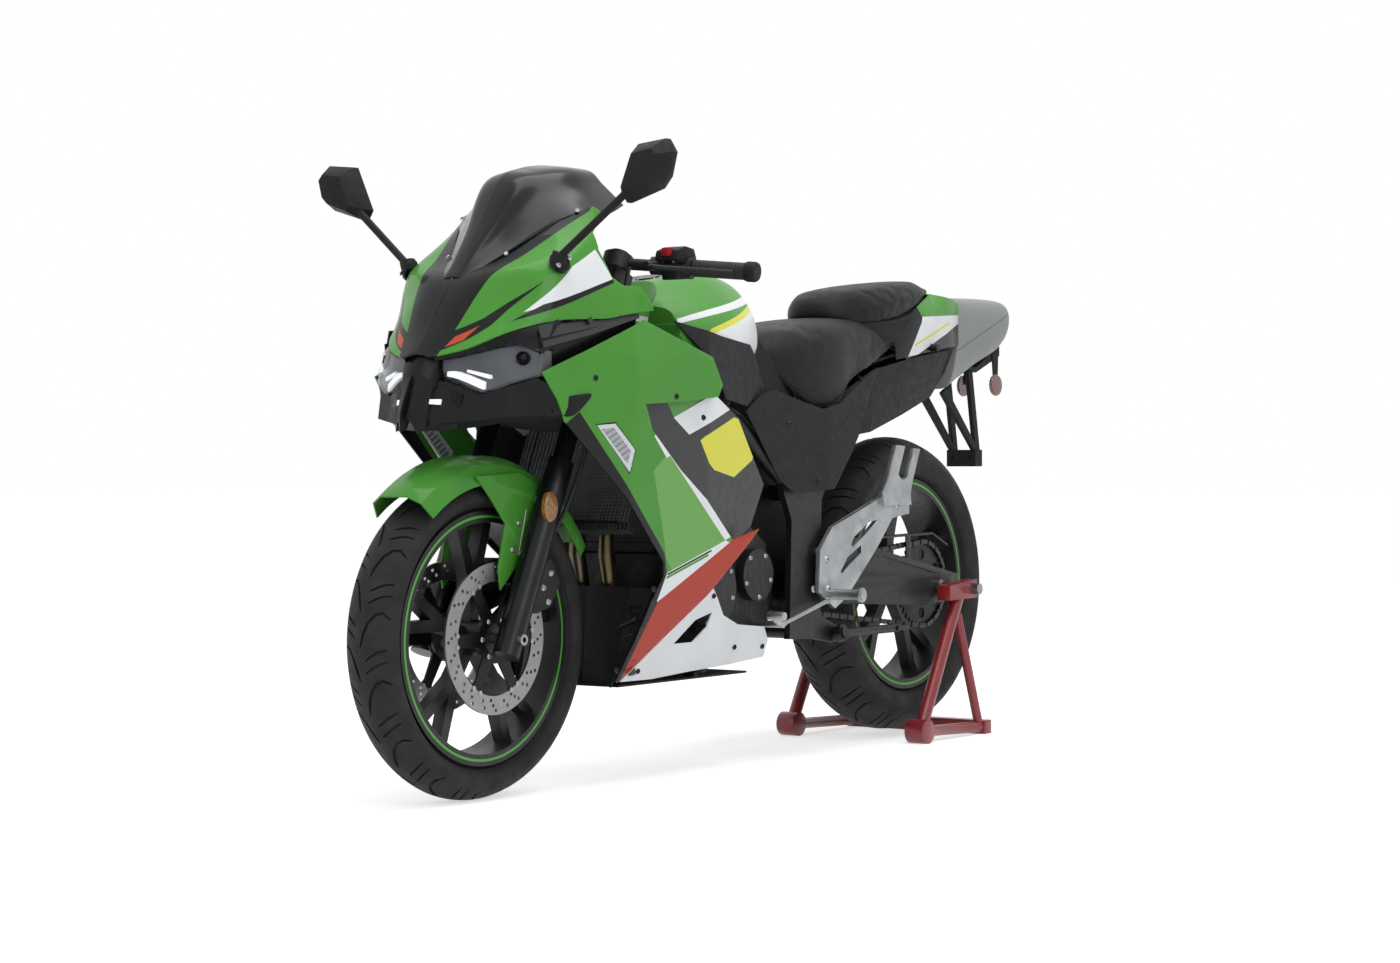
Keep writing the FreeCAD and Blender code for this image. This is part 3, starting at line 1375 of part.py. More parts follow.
def rear_caliper():
    y = -size.rear_hub_length / 2 - size.disc_thickness / 2
    x = -size.wheelbase + 88
    z = REAR_AXLE_HEIGHT + 66
    block = Part.makeBox(60, 40, 50, Vector(x - 30, y - 20, z - 20))
    gap = size.disc_thickness / 2 + 1.5
    slot = Part.makeCylinder(size.rear_disc_radius + 4, 2 * gap,
                             Vector(-size.wheelbase, y - gap, REAR_AXLE_HEIGHT), Vector(0, 1, 0))
    lug = prism_y([(x - 30, z + 14), (x - 30, z - 30), (x + 24, z - 30), (x + 24, z + 14)],
                  -size.swingarm_inner, y - 10)
    return block.cut(slot).fuse(lug)


node("rear_caliper", solid("rear_caliper_body", rear_caliper()))

# Mirrors and dash.


def mirror(cowl):
    """A faceted pod on a thin stem with a foot on the cowl."""
    back = [(300, 1085), (338, 1168), (398, 1174), (413, 1150), (402, 1108), (385, 1088),
            (312, 1066)]
    front = [(322, 1092), (345, 1148), (388, 1155), (398, 1144), (390, 1112), (378, 1100),
             (328, 1082)]
    wires = []
    for x, ring in ((-85, back), (-70, back), (-38, front)):
        corners = [Vector(x, y, z) for y, z in ring]
        wires.append(Part.makePolygon(corners + corners[:1]))
    pod = sections_loft(wires)
    stem = rod((-44, 176, 972), (-62, 318, 1084), 7)
    foot = rod((-44, 174, 963), (-46, 182, 982), 15)
    outside = pod.fuse([stem, foot]).cut(cowl)
    return max(outside.Solids, key=lambda piece: piece.Volume)


def dash():
    return across([
        (-85, [(-165, 1040), (-205, 1060), (-225, 1010), (-185, 990)]),
        (85, [(-165, 1040), (-205, 1060), (-225, 1010), (-185, 990)]),
    ])


mirror_left = solid("mirror_left", mirror(upper_cowl()))
node("mirrors", mirror_left, mirrored(mirror_left))
node("dash", solid("dash_box", dash()))

# Frame and engine, whose stays end at the panels they carry.

node("main_frame", solid("frame_weldment", main_frame()))
node("cowl_stay", solid("cowl_stay_weldment", cowl_stay()))
node("subframe", solid("seat_rails", subframe()))
intakes = [solid("intake_%d" % k, rod((-560, y, 606), (-640, y, 636), 22))
           for k, y in enumerate((-36, 36))]
gearbox_shaft = cross_bar("gearbox_shaft", "12", SPROCKET_LOW, SPROCKET_HIGH + " - 2", *GEARBOX_AT)
gearbox_wheel = cross_bar("gearbox_wheel", "front_sprocket_radius + 2",
                          "chain_line - disc_thickness / 2", "chain_line + disc_thickness / 2",
                          *GEARBOX_AT)
node("engine", fused("engine_block", engine_bored, gearbox_shaft, gearbox_wheel, *intakes,
                     *engine_stays()))
node("exhaust", solid("header_pipes", exhaust_pipe()), solid("silencer_can", silencer()))
tank_cover_left = solid("tank_cover_left", tank_cover())
side_cover_left = solid("side_cover_left", side_cover())
node("side_covers", tank_cover_left, mirrored(tank_cover_left), side_cover_left,
     mirrored(side_cover_left))

# Stands.


def side_stand():
    """Folded back along the bike at rest."""
    tip = STAND_PIVOT + Vector(-size.side_stand_length, 0, 0)
    blade = rod(STAND_PIVOT - Vector(15, 0, 0), tip, 9)
    boss = rod(STAND_PIVOT - STAND_AXIS * 8, STAND_PIVOT + STAND_AXIS * 8, 17)
    foot = Part.makeBox(44, 26, 10, tip + Vector(-30, -13, -5))
    bore = rod(STAND_PIVOT - STAND_AXIS * 40, STAND_PIVOT + STAND_AXIS * 40,
               size.stand_pin_radius + size.running_gap)
    return blade.fuse([boss, foot]).cut(bore)


def paddock_stand():
    rear = -size.wheelbase
    y = size.stand_spread
    spool_x = rear - size.spool_back
    spool_z = size.spool_height
    head = prism_y([(rear + 30, 332), (spool_x - 20, 342), (spool_x - 20, 302), (rear + 30, 300)],
                   150, 182)
    leg = rod((rear - 30, y, 306), (rear + 125, y, 30), size.stand_tube_radius)
    strut = rod((rear - 26, y, 270), (rear - 118, y, 16), 10)
    rail = rod((rear + 122, y, 25), (rear - 132, y, 15), 12)
    wheel = rod((rear + 130, y - 22, 26), (rear + 130, y + 22, 26), 26)
    left = head.fuse([leg, strut, rail, wheel])
    bore = rod((spool_x, 100, spool_z), (spool_x, 260, spool_z), size.spool_radius)
    left = left.cut(bore)
    beam = prism_y([(rear - 146, 0), (rear - 146, 30), (rear - 118, 30), (rear - 118, 0)],
                   -y - 15, y + 15)
    return left.fuse([flip(left), beam])


node("side_stand", solid("side_stand_leg", side_stand()))
node("paddock_stand", solid("stand_frame", paddock_stand()))
rear_axle = cross_bar("rear_axle", "axle_radius", "0 - swingarm_inner - swingarm_beam - 14",
                      "swingarm_inner + swingarm_beam + 14", "0 - wheelbase",
                      "rear_tyre_radius + rear_lift")
pivot_shaft = cross_bar("pivot_shaft", "axle_radius", "0 - pivot_plate_inner - pivot_plate - 8",
                        "pivot_plate_inner + pivot_plate + 8", "0 - pivot_back", "pivot_height")
spool_barrel = cross_bar("spool_barrel", "spool_radius", SWINGARM_OUTER, "spool_reach",
                         "0 - wheelbase - spool_back", "spool_height")
spool_screw = cross_bar("spool_screw", "6", SWINGARM_OUTER + " - 20", SWINGARM_OUTER + " + 1",
                        "0 - wheelbase - spool_back", "spool_height")
spool_left = fused("spool_left", spool_barrel, spool_screw)
node("axles_and_spools", rear_axle, pivot_shaft, spool_left, mirrored(spool_left))

# Every object is checked before anything is written.

doc.recompute()
for item in doc.Objects:
    if "Invalid" in item.State or "Error" in item.State:
        raise RuntimeError("%s failed: %s" % (item.Label, item.State))
for part in nodes:
    if part.Shape.isNull() or not part.Shape.isValid():
        raise RuntimeError("%s has no valid shape" % part.Label)
    if not part.Shape.Solids:
        raise RuntimeError("%s has no solid" % part.Label)

os.makedirs("parts", exist_ok=True)
for part in nodes:
    part.Shape.exportStep("parts/%s.step" % part.Label)
print("wrote %d parts" % len(nodes))
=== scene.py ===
import math

import bmesh
import bpy
from mathutils import Matrix, Vector


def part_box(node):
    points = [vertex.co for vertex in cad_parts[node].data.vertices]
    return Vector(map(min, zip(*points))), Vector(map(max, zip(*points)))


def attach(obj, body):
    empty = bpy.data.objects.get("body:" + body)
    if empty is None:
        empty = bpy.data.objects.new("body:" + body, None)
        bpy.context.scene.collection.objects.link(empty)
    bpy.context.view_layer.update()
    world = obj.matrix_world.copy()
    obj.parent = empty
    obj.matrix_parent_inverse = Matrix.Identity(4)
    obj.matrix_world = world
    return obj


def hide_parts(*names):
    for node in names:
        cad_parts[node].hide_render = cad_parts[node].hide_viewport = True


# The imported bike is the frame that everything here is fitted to. It is in metres, with the
# front axle ahead of the middle, and the tables below are millimetres from that axle, as a
# maker's drawing has them.

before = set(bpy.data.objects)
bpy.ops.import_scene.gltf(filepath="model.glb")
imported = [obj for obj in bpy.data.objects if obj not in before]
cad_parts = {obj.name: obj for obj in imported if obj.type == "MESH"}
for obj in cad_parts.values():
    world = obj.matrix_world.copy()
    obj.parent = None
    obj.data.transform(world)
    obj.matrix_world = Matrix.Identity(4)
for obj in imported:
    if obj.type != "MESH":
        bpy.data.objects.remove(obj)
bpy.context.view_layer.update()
MM = 0.001
AXLE_X = 0.5 * (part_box("front_tyre")[0].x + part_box("front_tyre")[1].x)


def spot(x, y, z):
    """A point in metres, from millimetres ahead of the front axle, to the left and up."""
    return Vector((AXLE_X + x * MM, y * MM, z * MM))


# Photographer's studio: the camera stands low and wide of the bike's left front wheel,
# under big soft lamps. Floor and walls are white paper that keeps the bike's shadow.

EYE = Vector((4.82648, 3.44485, 0.63660))
HEADING = math.radians(215.861)
TILT = math.radians(-0.693)
LEAN = math.radians(-0.373)
FOCAL_LENGTH = 75.43
FILM_WIDTH = 36
SIGHT_END = 100
AIR_LEVEL = 0.5
PAPER_GLOW = 0.56
FLOOR_REACH = 30

ahead = Vector((math.cos(TILT) * math.cos(HEADING), math.cos(TILT) * math.sin(HEADING),
                math.sin(TILT)))
level = ahead.cross(Vector((0, 0, 1))).normalized()
upright = level.cross(ahead)
aside = level * math.cos(LEAN) + upright * math.sin(LEAN)
above = upright * math.cos(LEAN) - level * math.sin(LEAN)
lens = bpy.data.cameras.new("studio_camera")
lens.lens = FOCAL_LENGTH
lens.sensor_width = FILM_WIDTH
lens.clip_end = SIGHT_END
camera = bpy.data.objects.new("studio_camera", lens)
camera.matrix_world = Matrix.Translation(EYE) @ Matrix((aside, above, -ahead)).transposed().to_4x4()
bpy.context.scene.collection.objects.link(camera)
bpy.context.scene.camera = camera
bpy.context.scene.view_settings.view_transform = "Standard"


class Wire:
    """A socket of a node tree, on which Python's operators do the tree's maths."""

    def __init__(self, tree, socket):
        self.tree = tree
        self.socket = socket

    def maths(self, operation, *others):
        return self.tree.add("ShaderNodeMath", {"operation": operation},
                             dict(enumerate((self,) + others)))

    def __add__(self, other):
        return self.maths("ADD", other)

    __radd__ = __add__

    def __sub__(self, other):
        return self.maths("SUBTRACT", other)

    def __rsub__(self, other):
        return self.tree.add("ShaderNodeMath", {"operation": "SUBTRACT"}, {0: other, 1: self})

    def __mul__(self, other):
        return self.maths("MULTIPLY", other)

    __rmul__ = __mul__

    def __truediv__(self, other):
        return self.maths("DIVIDE", other)

    def __abs__(self):
        return self.maths("ABSOLUTE")

    def least(self, other):
        return self.maths("MINIMUM", other)

    def most(self, other):
        return self.maths("MAXIMUM", other)

    def clamped(self):
        return self.tree.add("ShaderNodeClamp", {}, {0: self})

    def ramp(self, low, high):
        """0 at low and under, 1 at high and over, straight between."""
        return self.tree.add("ShaderNodeMapRange", {}, {0: self, 1: low, 2: high})

    def other(self, output):
        """Another output of the same node."""
        return Wire(self.tree, self.socket.node.outputs[output])


class Tree:
    """A node tree that nodes are added to by type, settings and inputs."""

    def __init__(self, tree):
        self.tree = tree

    def add(self, kind, settings, inputs, output=0):
        node = self.tree.nodes.new(kind)
        for name, value in settings.items():
            setattr(node, name, value)
        for name, value in inputs.items():
            if isinstance(value, Wire):
                self.tree.links.new(value.socket, node.inputs[name])
            else:
                node.inputs[name].default_value = value
        return Wire(self, node.outputs[output])

    def blend(self, share, first, second):
        """A colour that goes from first to second as share goes from 0 to 1."""
        return self.add("ShaderNodeMix", {"data_type": "RGBA"}, {0: share, 6: first, 7: second}, 2)


def tone(code):
    """A paint chart's colour code as the shader's linear colour."""
    shades = [int(code[k:k + 2], 16) / 255 for k in (1, 3, 5)]
    return tuple(c / 12.92 if c < 0.04045 else ((c + 0.055) / 1.055) ** 2.4 for c in shades) + (1,)


def seen_directly(tree):
    """1 for rays from the camera or by way of gloss or glass, 0 for what lights the bike."""
    seen = tree.add("ShaderNodeLightPath", {}, {}, "Is Camera Ray")
    return seen.most(seen.other("Is Glossy Ray")).most(seen.other("Is Transmission Ray"))


world = bpy.data.worlds.new("studio_air")
world.use_nodes = True
bpy.context.scene.world = world
air = Tree(world.node_tree)
air_light = world.node_tree.nodes["Background"]
air_light.inputs["Color"].default_value = (1, 1, 1, 1)
air_strength = seen_directly(air) * (1 - AIR_LEVEL) + AIR_LEVEL
world.node_tree.links.new(air_strength.socket, air_light.inputs["Strength"])

LAMPS = [
    ("lamp_over", (0.3, 0.6, 3.4), (0.0, 0.0, 0.4), 2.4, 52),
    ("lamp_side", (1.6, 3.2, 2.2), (0.1, 0.0, 0.5), 1.8, 24),
    ("lamp_front", (3.8, -0.8, 1.9), (0.4, 0.0, 0.5), 1.4, 12),
]
for lamp_name, stands, aims, width, power in LAMPS:
    lamp = bpy.data.lights.new(lamp_name, "AREA")
    lamp.size = width
    lamp.energy = power
    holder = bpy.data.objects.new(lamp_name, lamp)
    holder.location = stands
    holder.rotation_euler = (Vector(aims) - Vector(stands)).to_track_quat("-Z", "Y").to_euler()
    bpy.context.scene.collection.objects.link(holder)

paper = bpy.data.materials.new("studio_paper")
paper.use_nodes = True
paper_tree = Tree(paper.node_tree)
paper_shader = paper.node_tree.nodes["Principled BSDF"]
paper_shader.inputs["Base Color"].default_value = tone("#F4F4F4")
paper_shader.inputs["Roughness"].default_value = 0.9
paper_shader.inputs["Specular IOR Level"].default_value = 0
paper_shader.inputs["Emission Color"].default_value = (1, 1, 1, 1)
paper_glow = seen_directly(paper_tree) * PAPER_GLOW
paper.node_tree.links.new(paper_glow.socket, paper_shader.inputs["Emission Strength"])
floor_mesh = bpy.data.meshes.new("studio_floor")
floor_corners = [(x * FLOOR_REACH, y * FLOOR_REACH, 0) for x, y in ((-1, -1), (1, -1), (1, 1), (-1, 1))]
floor_mesh.from_pydata(floor_corners, [], [(0, 1, 2, 3)])
floor_mesh.materials.append(paper)
studio_floor = bpy.data.objects.new("studio_floor", floor_mesh)
bpy.context.scene.collection.objects.link(studio_floor)

# Upper cowl: one injection-moulded shell over the nose, painted green under clear lacquer,
# with a bare black strip down the middle. It is screwed to the stay ahead of the head tube.

COWL = [
    (140, [(0, 803), (15, 801), (32, 796)]),
    (105, [(0, 850), (38, 842), (92, 812)]),
    (45, [(0, 937), (75, 925), (142, 842)]),
    (-35, [(65, 984), (165, 962), (184, 862)]),
    (-150, [(136, 1063), (183, 1000), (203, 868)]),
    (-200, [(163, 1056), (193, 960), (211, 877)]),
    (-270, [(214, 899), (218, 893), (220, 886)]),
]
COWL_REAR = [(-206, 930), (-175, 945), (-151, 992), (-153, 1025), (-190, 1056), (-230, 1110),
             (-330, 1000), (-330, 930)]
GREEN = "#4B9436"
LIGHT_GREEN = "#6FAA58"
WHITE = "#E9ECEF"
BLACK = "#121315"
ORANGE = "#BE4F2C"
WELD = 0.05 * MM
MIDDLE_WELD = 0.1 * MM
PAINT_EDGE = 0.6 * MM
SMOOTH_TO = 32
EDGE_FROM = 40
KNIFE_REACH = 300


def smooth(points, count):
    """count + 1 points along a smooth curve through the given ones, evenly from one to the next."""
    last = len(points) - 1
    line = []
    for k in range(count + 1):
        along = k * last / count
        i = min(int(along), last - 1)
        t = along - i
        a, b, c, d = points[max(i - 1, 0)], points[i], points[i + 1], points[min(i + 2, last)]
        line.append(tuple(
            0.5 * (2 * q + (r - p) * t + (2 * p - 5 * q + 4 * r - s) * t * t
                   + (3 * q - p - 3 * r + s) * t ** 3)
            for p, q, r, s in zip(a, b, c, d)))
    return line


def loft(shape, sections, rows, columns, side=1):
    """A smooth skin through sections (x, [(y, z), ...]), in a bmesh, on the side of y's sign."""
    across = [[(x, y, z) for y, z in smooth(line, columns)] for x, line in sections]
    lines = [smooth([row[k] for row in across], rows) for k in range(columns + 1)]
    dots = [[shape.verts.new(spot(x, side * y, z)) for x, y, z in line] for line in lines]
    for first, second in zip(dots, dots[1:]):
        for k in range(rows):
            corners = [first[k], first[k + 1], second[k + 1], second[k]]
            shape.faces.new(corners if side > 0 else corners[::-1])


def make_piece(name, shape, *finishes):
    """The object of a bmesh, with its materials, at the origin."""
    bmesh.ops.remove_doubles(shape, verts=shape.verts, dist=WELD)
    mesh = bpy.data.meshes.new(name)
    shape.to_mesh(mesh)
    shape.free()
    for finish in finishes:
        mesh.materials.append(finish.material)
    thing = bpy.data.objects.new(name, mesh)
    bpy.context.scene.collection.objects.link(thing)
    return thing


def mirrored_skin(name, sections, rows, columns, *finishes, filled=False):
    """A smooth skin through half sections and their mirror image, its ends filled or open."""
    shape = bmesh.new()
    loft(shape, sections, rows, columns)
    loft(shape, sections, rows, columns, -1)
    bmesh.ops.remove_doubles(shape, verts=shape.verts, dist=MIDDLE_WELD)
    if filled:
        bmesh.ops.holes_fill(shape, edges=[e for e in shape.edges if e.is_boundary], sides=0)
    bmesh.ops.recalc_face_normals(shape, faces=shape.faces)
    return make_piece(name, shape, *finishes)


def settle(thing, angle=SMOOTH_TO):
    """Makes the modifiers part of the mesh, and shades it smooth up to an angle."""
    bpy.context.view_layer.update()
    graph = bpy.context.evaluated_depsgraph_get()
    thing.data = bpy.data.meshes.new_from_object(thing.evaluated_get(graph))
    thing.modifiers.clear()
    thing.data.shade_smooth()
    thing.data.set_sharp_from_angle(angle=math.radians(angle))
    return thing


def thicken(thing, wall, edge):
    """A wall inward from the skin, with rounded edges."""
    if wall:
        solid = thing.modifiers.new("wall", "SOLIDIFY")
        solid.thickness = wall * MM
        solid.offset = -1
    if edge:
        rounded = thing.modifiers.new("edge", "BEVEL")
        rounded.width = edge * MM
        rounded.segments = 2
        rounded.angle_limit = math.radians(EDGE_FROM)
    return settle(thing)


def close_prism(shape, near, far):
    """The faces over two like rings of points, and between them."""
    shape.faces.new(near)
    shape.faces.new(far[::-1])
    for k in range(len(near)):
        m = (k + 1) % len(near)
        shape.faces.new((near[m], near[k], far[k], far[m]))


def side_slab(name, outline):
    """A prism right across the bike over a side outline, to cut with."""
    shape = bmesh.new()
    near = [shape.verts.new(spot(x, -KNIFE_REACH, z)) for x, z in outline]
    far = [shape.verts.new(spot(x, KNIFE_REACH, z)) for x, z in outline]
    close_prism(shape, near, far)
    bmesh.ops.recalc_face_normals(shape, faces=shape.faces)
    return make_piece(name, shape)


def cut_away(thing, cutter):
    """Takes the cutter's space out of the piece and removes the cutter."""
    knife = thing.modifiers.new("cut", "BOOLEAN")
    knife.operation = "DIFFERENCE"
    knife.object = cutter
    knife.solver = "EXACT"
    settle(thing)
    bpy.data.objects.remove(cutter)
    return thing


class Finish(Tree):
    """A material, its one shader, and the nodes that vary it over the piece."""

    def __init__(self, name, colour, rough, **sockets):
        self.material = bpy.data.materials.new(name)
        self.material.use_nodes = True
        super().__init__(self.material.node_tree)
        self.shader = self.tree.nodes["Principled BSDF"]
        self.colour = tone(colour)
        self.rough = rough
        self.shader.inputs["Base Color"].default_value = self.colour
        self.shader.inputs["Roughness"].default_value = rough
        for socket, value in sockets.items():
            self.shader.inputs[socket.replace("_", " ")].default_value = value
        self.place = self.add("ShaderNodeTexCoord", {}, {}, "Object")
        self.x = self.add("ShaderNodeSeparateXYZ", {}, {0: self.place})
        self.y, self.z = self.x.other(1), self.x.other(2)

    def feed(self, socket, wire):
        self.tree.links.new(wire.socket, self.shader.inputs[socket])

    def noise(self, scale, detail):
        """Even noise around a half, of that many grains to a metre."""
        return self.add("ShaderNodeTexNoise", {}, {"Vector": self.place, "Scale": scale,
                                                   "Detail": detail})

    def vary(self, amount, scale):
        """Slow drift of the colour's depth, as no batch of paint or plastic is even."""
        drift = self.noise(scale, 3.0).ramp(0.35, 0.65)
        darker = tuple(c * (1 - amount) for c in self.colour[:3]) + (1,)
        self.colour = self.blend(drift, darker, self.colour)

    def paint(self, mask, colour):
        """A colour over the others where the mask is 1."""
        self.colour = self.blend(mask, self.colour, colour)

    def relief(self, height, depth):
        """Bump of that depth in metres from a height between 0 and 1."""
        bump = self.add("ShaderNodeBump", {}, {"Height": height, "Strength": 1.0,
                                               "Distance": depth})
        self.feed("Normal", bump)

    def done(self, rough_by=0.0, scale=60):
        """Joins the colour to the shader, and makes the gloss uneven in spots."""
        if isinstance(self.colour, Wire):
            self.feed("Base Color", self.colour)
        if rough_by:
            spots = self.noise(scale, 4.0).ramp(0.3, 0.7)
            self.feed("Roughness", spots * rough_by + (self.rough - rough_by / 2))
        return self


def zone(finish, corners, front=False):
    """1 inside a convex outline in millimetres, 0 outside, alike on the left and the right.

    The corners are (x, z) as seen from the side, or (y, z) as seen from the front.
    """
    start = 0 if front else AXLE_X
    along = abs(finish.y) if front else finish.x
    points = [(start + x * MM, z * MM) for x, z in corners]
    middle_x = sum(x for x, z in points) / len(points)
    middle_z = sum(z for x, z in points) / len(points)
    depth = None
    for (x1, z1), (x2, z2) in zip(points, points[1:] + points[:1]):
        length = math.hypot(x2 - x1, z2 - z1)
        a, b = (z2 - z1) / length, (x1 - x2) / length
        if a * (middle_x - x1) + b * (middle_z - z1) < 0:
            a, b = -a, -b
        edge = (finish.z * b + (-a * x1 - b * z1)) + along * a
        depth = edge if depth is None else depth.least(edge)
    return (depth / PAINT_EDGE + 0.5).clamped()


def stripe(finish, start, end, width):
    """1 on a straight stripe between two (x, z) places, of a width in millimetres."""
    (x1, z1), (x2, z2) = start, end
    length = math.hypot(x2 - x1, z2 - z1)
    a, b = (z1 - z2) / length * width / 2, (x2 - x1) / length * width / 2
    return zone(finish, [(x1 + a, z1 + b), (x2 + a, z2 + b), (x2 - a, z2 - b), (x1 - a, z1 - b)])


def lacquered(name, colour):
    """Colour coat on a moulded or pressed panel, before its zones are painted."""
    finish = Finish(name, colour, 0.4, Coat_Weight=0.25, Coat_Roughness=0.07,
                    Specular_IOR_Level=0.1)
    finish.vary(0.07, 9)
    return finish


def finish_lacquer(finish):
    """The lacquer over the painted zones: faint orange peel and uneven gloss."""
    finish.relief(finish.noise(420, 2.0), 0.00012)
    return finish.done(0.08, 40)


cowl_green = lacquered("cowl_paint", GREEN)
cowl_green.paint(zone(cowl_green, [(18, 876), (-76, 960), (-142, 993), (-178, 938)]), tone(WHITE))
cowl_green.paint(zone(cowl_green, [(40, 859), (-179, 934), (-178, 941), (-12, 890)]), tone(BLACK))
flash = zone(cowl_green, [(133, 803), (100, 843), (63, 868), (36, 882), (64, 853), (96, 828)])
flash_tip = zone(cowl_green, [(64, 868), (-21, 934), (62, 855)])
cowl_green.paint(flash.most(flash_tip), tone(BLACK))
cowl_green.paint(zone(cowl_green, [(120, 814), (103, 833), (76, 852), (101, 826)]), tone(ORANGE))
nose_panel = zone(cowl_green, [(-40, 780), (42, 792), (84, 950), (-40, 950)], front=True)
screen_border = zone(cowl_green, [(-40, 940), (81, 940), (150, 1066), (150, 1110), (-40, 1110)],
                     front=True)
cowl_green.paint(nose_panel.most(screen_border), tone(BLACK))
finish_lacquer(cowl_green)

upper_cowl = mirrored_skin("upper_cowl_shell", COWL, 48, 16, cowl_green)
thicken(upper_cowl, 3, 0)
cut_away(upper_cowl, side_slab("cowl_knife", COWL_REAR))
thicken(upper_cowl, 0, 0.8)
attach(upper_cowl, "chassis")
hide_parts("upper_cowl")

# Windscreen: a double-bubble sheet of smoked acrylic, blown to shape and held by screws to the
# cowl's edge.

SCREEN = [
    (42, [(0, 942), (10, 942), (19, 940), (28, 938)]),
    (-35, [(0, 1040), (26, 1034), (42, 1011), (66, 988)]),
    (-97, [(0, 1128), (42, 1117), (66, 1078), (102, 1030)]),
    (-150, [(0, 1151), (58, 1138), (90, 1098), (137, 1062)]),
    (-216, [(0, 1162), (66, 1150), (100, 1112), (154, 1064)]),
    (-286, [(0, 1163), (60, 1153), (92, 1126), (140, 1085)]),
]
SCREW_HEIGHT = 0.5
SCREW_SOCKET = 0.45
SCREW_TOP = 0.68


def grained(name, colour, rough, drift, grain, spots, **sockets):
    """A finish of one colour: its drift (amount, scale), its grain and its uneven gloss.

    The grain is (scale, detail, depth), and the gloss is uneven by spots (amount, scale).
    """
    finish = Finish(name, colour, rough, **sockets)
    finish.vary(*drift)
    scale, detail, depth = grain
    finish.relief(finish.noise(scale, detail), depth)
    return finish.done(*spots)


smoke = grained("smoked_acrylic", "#0F1113", 0.2, (0.2, 12), (30, 1.0, 0.0001), (0.05, 25),
                Transmission_Weight=0.15, IOR=1.49, Specular_IOR_Level=0.3)
windscreen = mirrored_skin("smoked_screen", SCREEN, 36, 18, smoke)
thicken(windscreen, 3, 0.8)
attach(windscreen, "chassis")
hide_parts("windscreen")


def recipe(name, sizes):
    """A Geometry Nodes tree with named sizes: the tree, its geometry and a wire for each size."""
    group = bpy.data.node_groups.new(name, "GeometryNodeTree")
    group.interface.new_socket("Geometry", in_out="INPUT", socket_type="NodeSocketGeometry")
    group.interface.new_socket("Geometry", in_out="OUTPUT", socket_type="NodeSocketGeometry")
    for label, value in sizes.items():
        kind = "NodeSocketFloat"
        if isinstance(value, int):
            kind = "NodeSocketInt"
        if isinstance(value, Vector):
            kind = "NodeSocketVector"
        if isinstance(value, bpy.types.Object):
            kind = "NodeSocketObject"
        group.interface.new_socket(label, in_out="INPUT", socket_type=kind)
    tree = Tree(group)
    geometry = tree.add("NodeGroupInput", {}, {})
    return tree, geometry, {label: geometry.other(label) for label in sizes}


def worked(thing, tree, result, finish, sizes):
    """Ends the tree in real faces with their finish, and makes the result the piece's mesh."""
    real = tree.add("GeometryNodeRealizeInstances", {}, {"Geometry": result})
    covered = tree.add("GeometryNodeSetMaterial", {}, {"Geometry": real,
                                                       "Material": finish.material})
    leave = tree.tree.nodes.new("NodeGroupOutput")
    tree.tree.links.new(covered.socket, leave.inputs[0])
    making = thing.modifiers.new("making", "NODES")
    making.node_group = tree.tree
    for item in tree.tree.interface.items_tree:
        if item.in_out == "INPUT" and item.name in sizes:
            making[item.identifier] = sizes[item.name]
    return settle(thing)


bright_screw = grained("zinc_screw", "#A9ABAC", 0.35, (0.25, 300), (900, 2.0, 0.0001), (0.2, 400),
                       Metallic=0.9)
black_screw = grained("black_screw", "#242526", 0.4, (0.3, 300), (900, 2.0, 0.0001), (0.2, 400),
                      Metallic=0.6)


def screws(name, body, finish, head, places):
    """Button-head hex screws at (x, y, z) places, each facing along the vector given with it.

    The head is its radius in millimetres, and its other sizes are shares of that.
    """
    shape = bmesh.new()
    for place, facing in places:
        shape.verts.new(spot(*place))
    points = make_piece(name, shape)
    faces = points.data.attributes.new("facing", "FLOAT_VECTOR", "POINT")
    for item, (place, facing) in zip(faces.data, places):
        item.vector = Vector(facing).normalized()
    sizes = {"Head Radius": head * MM, "Head Height": SCREW_HEIGHT * head * MM,
             "Socket Radius": SCREW_SOCKET * head * MM}
    tree, dots, size = recipe(name + "_tree", sizes)
    button = tree.add("GeometryNodeMeshCone", {}, {
        "Vertices": 16, "Radius Top": size["Head Radius"] * SCREW_TOP,
        "Radius Bottom": size["Head Radius"], "Depth": size["Head Height"]})
    sunk = tree.add("GeometryNodeMeshCylinder", {}, {
        "Vertices": 6, "Radius": size["Socket Radius"], "Depth": size["Head Height"]})
    height = tree.add("ShaderNodeCombineXYZ", {}, {2: size["Head Height"]})
    raised = tree.add("GeometryNodeTransform", {}, {"Geometry": sunk, "Translation": height})
    screw = tree.add("GeometryNodeMeshBoolean", {"solver": "EXACT"}, {"Mesh 1": button,
                                                                     "Mesh 2": raised})
    facing = tree.add("GeometryNodeInputNamedAttribute", {"data_type": "FLOAT_VECTOR"},
                      {"Name": "facing"})
    turned = tree.add("FunctionNodeAlignRotationToVector", {"axis": "Z"}, {"Vector": facing})
    row = tree.add("GeometryNodeInstanceOnPoints", {}, {"Points": dots, "Instance": screw,
                                                        "Rotation": turned})
    worked(points, tree, row, finish, sizes)
    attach(points, body)


def both_sides(places):
    """The places, and the same on the right-hand side."""
    return places + [((x, -y, z), (a, -b, c)) for (x, y, z), (a, b, c) in places]


screws("screen_screws", "chassis", bright_screw, 4.5, both_sides([
    ((-29, 69, 985), (0.5, 0.55, 0.7)), ((-150, 137, 1066), (0.3, 0.6, 0.75))]))

# Headlamps: a grey reflector housing with a projector and two white light bars behind a clear
# moulded lens. Each is bolted to the cowl's stay, under a black lid along the cowl's edge, and a
# black block with two small lamps fills the nose between them.

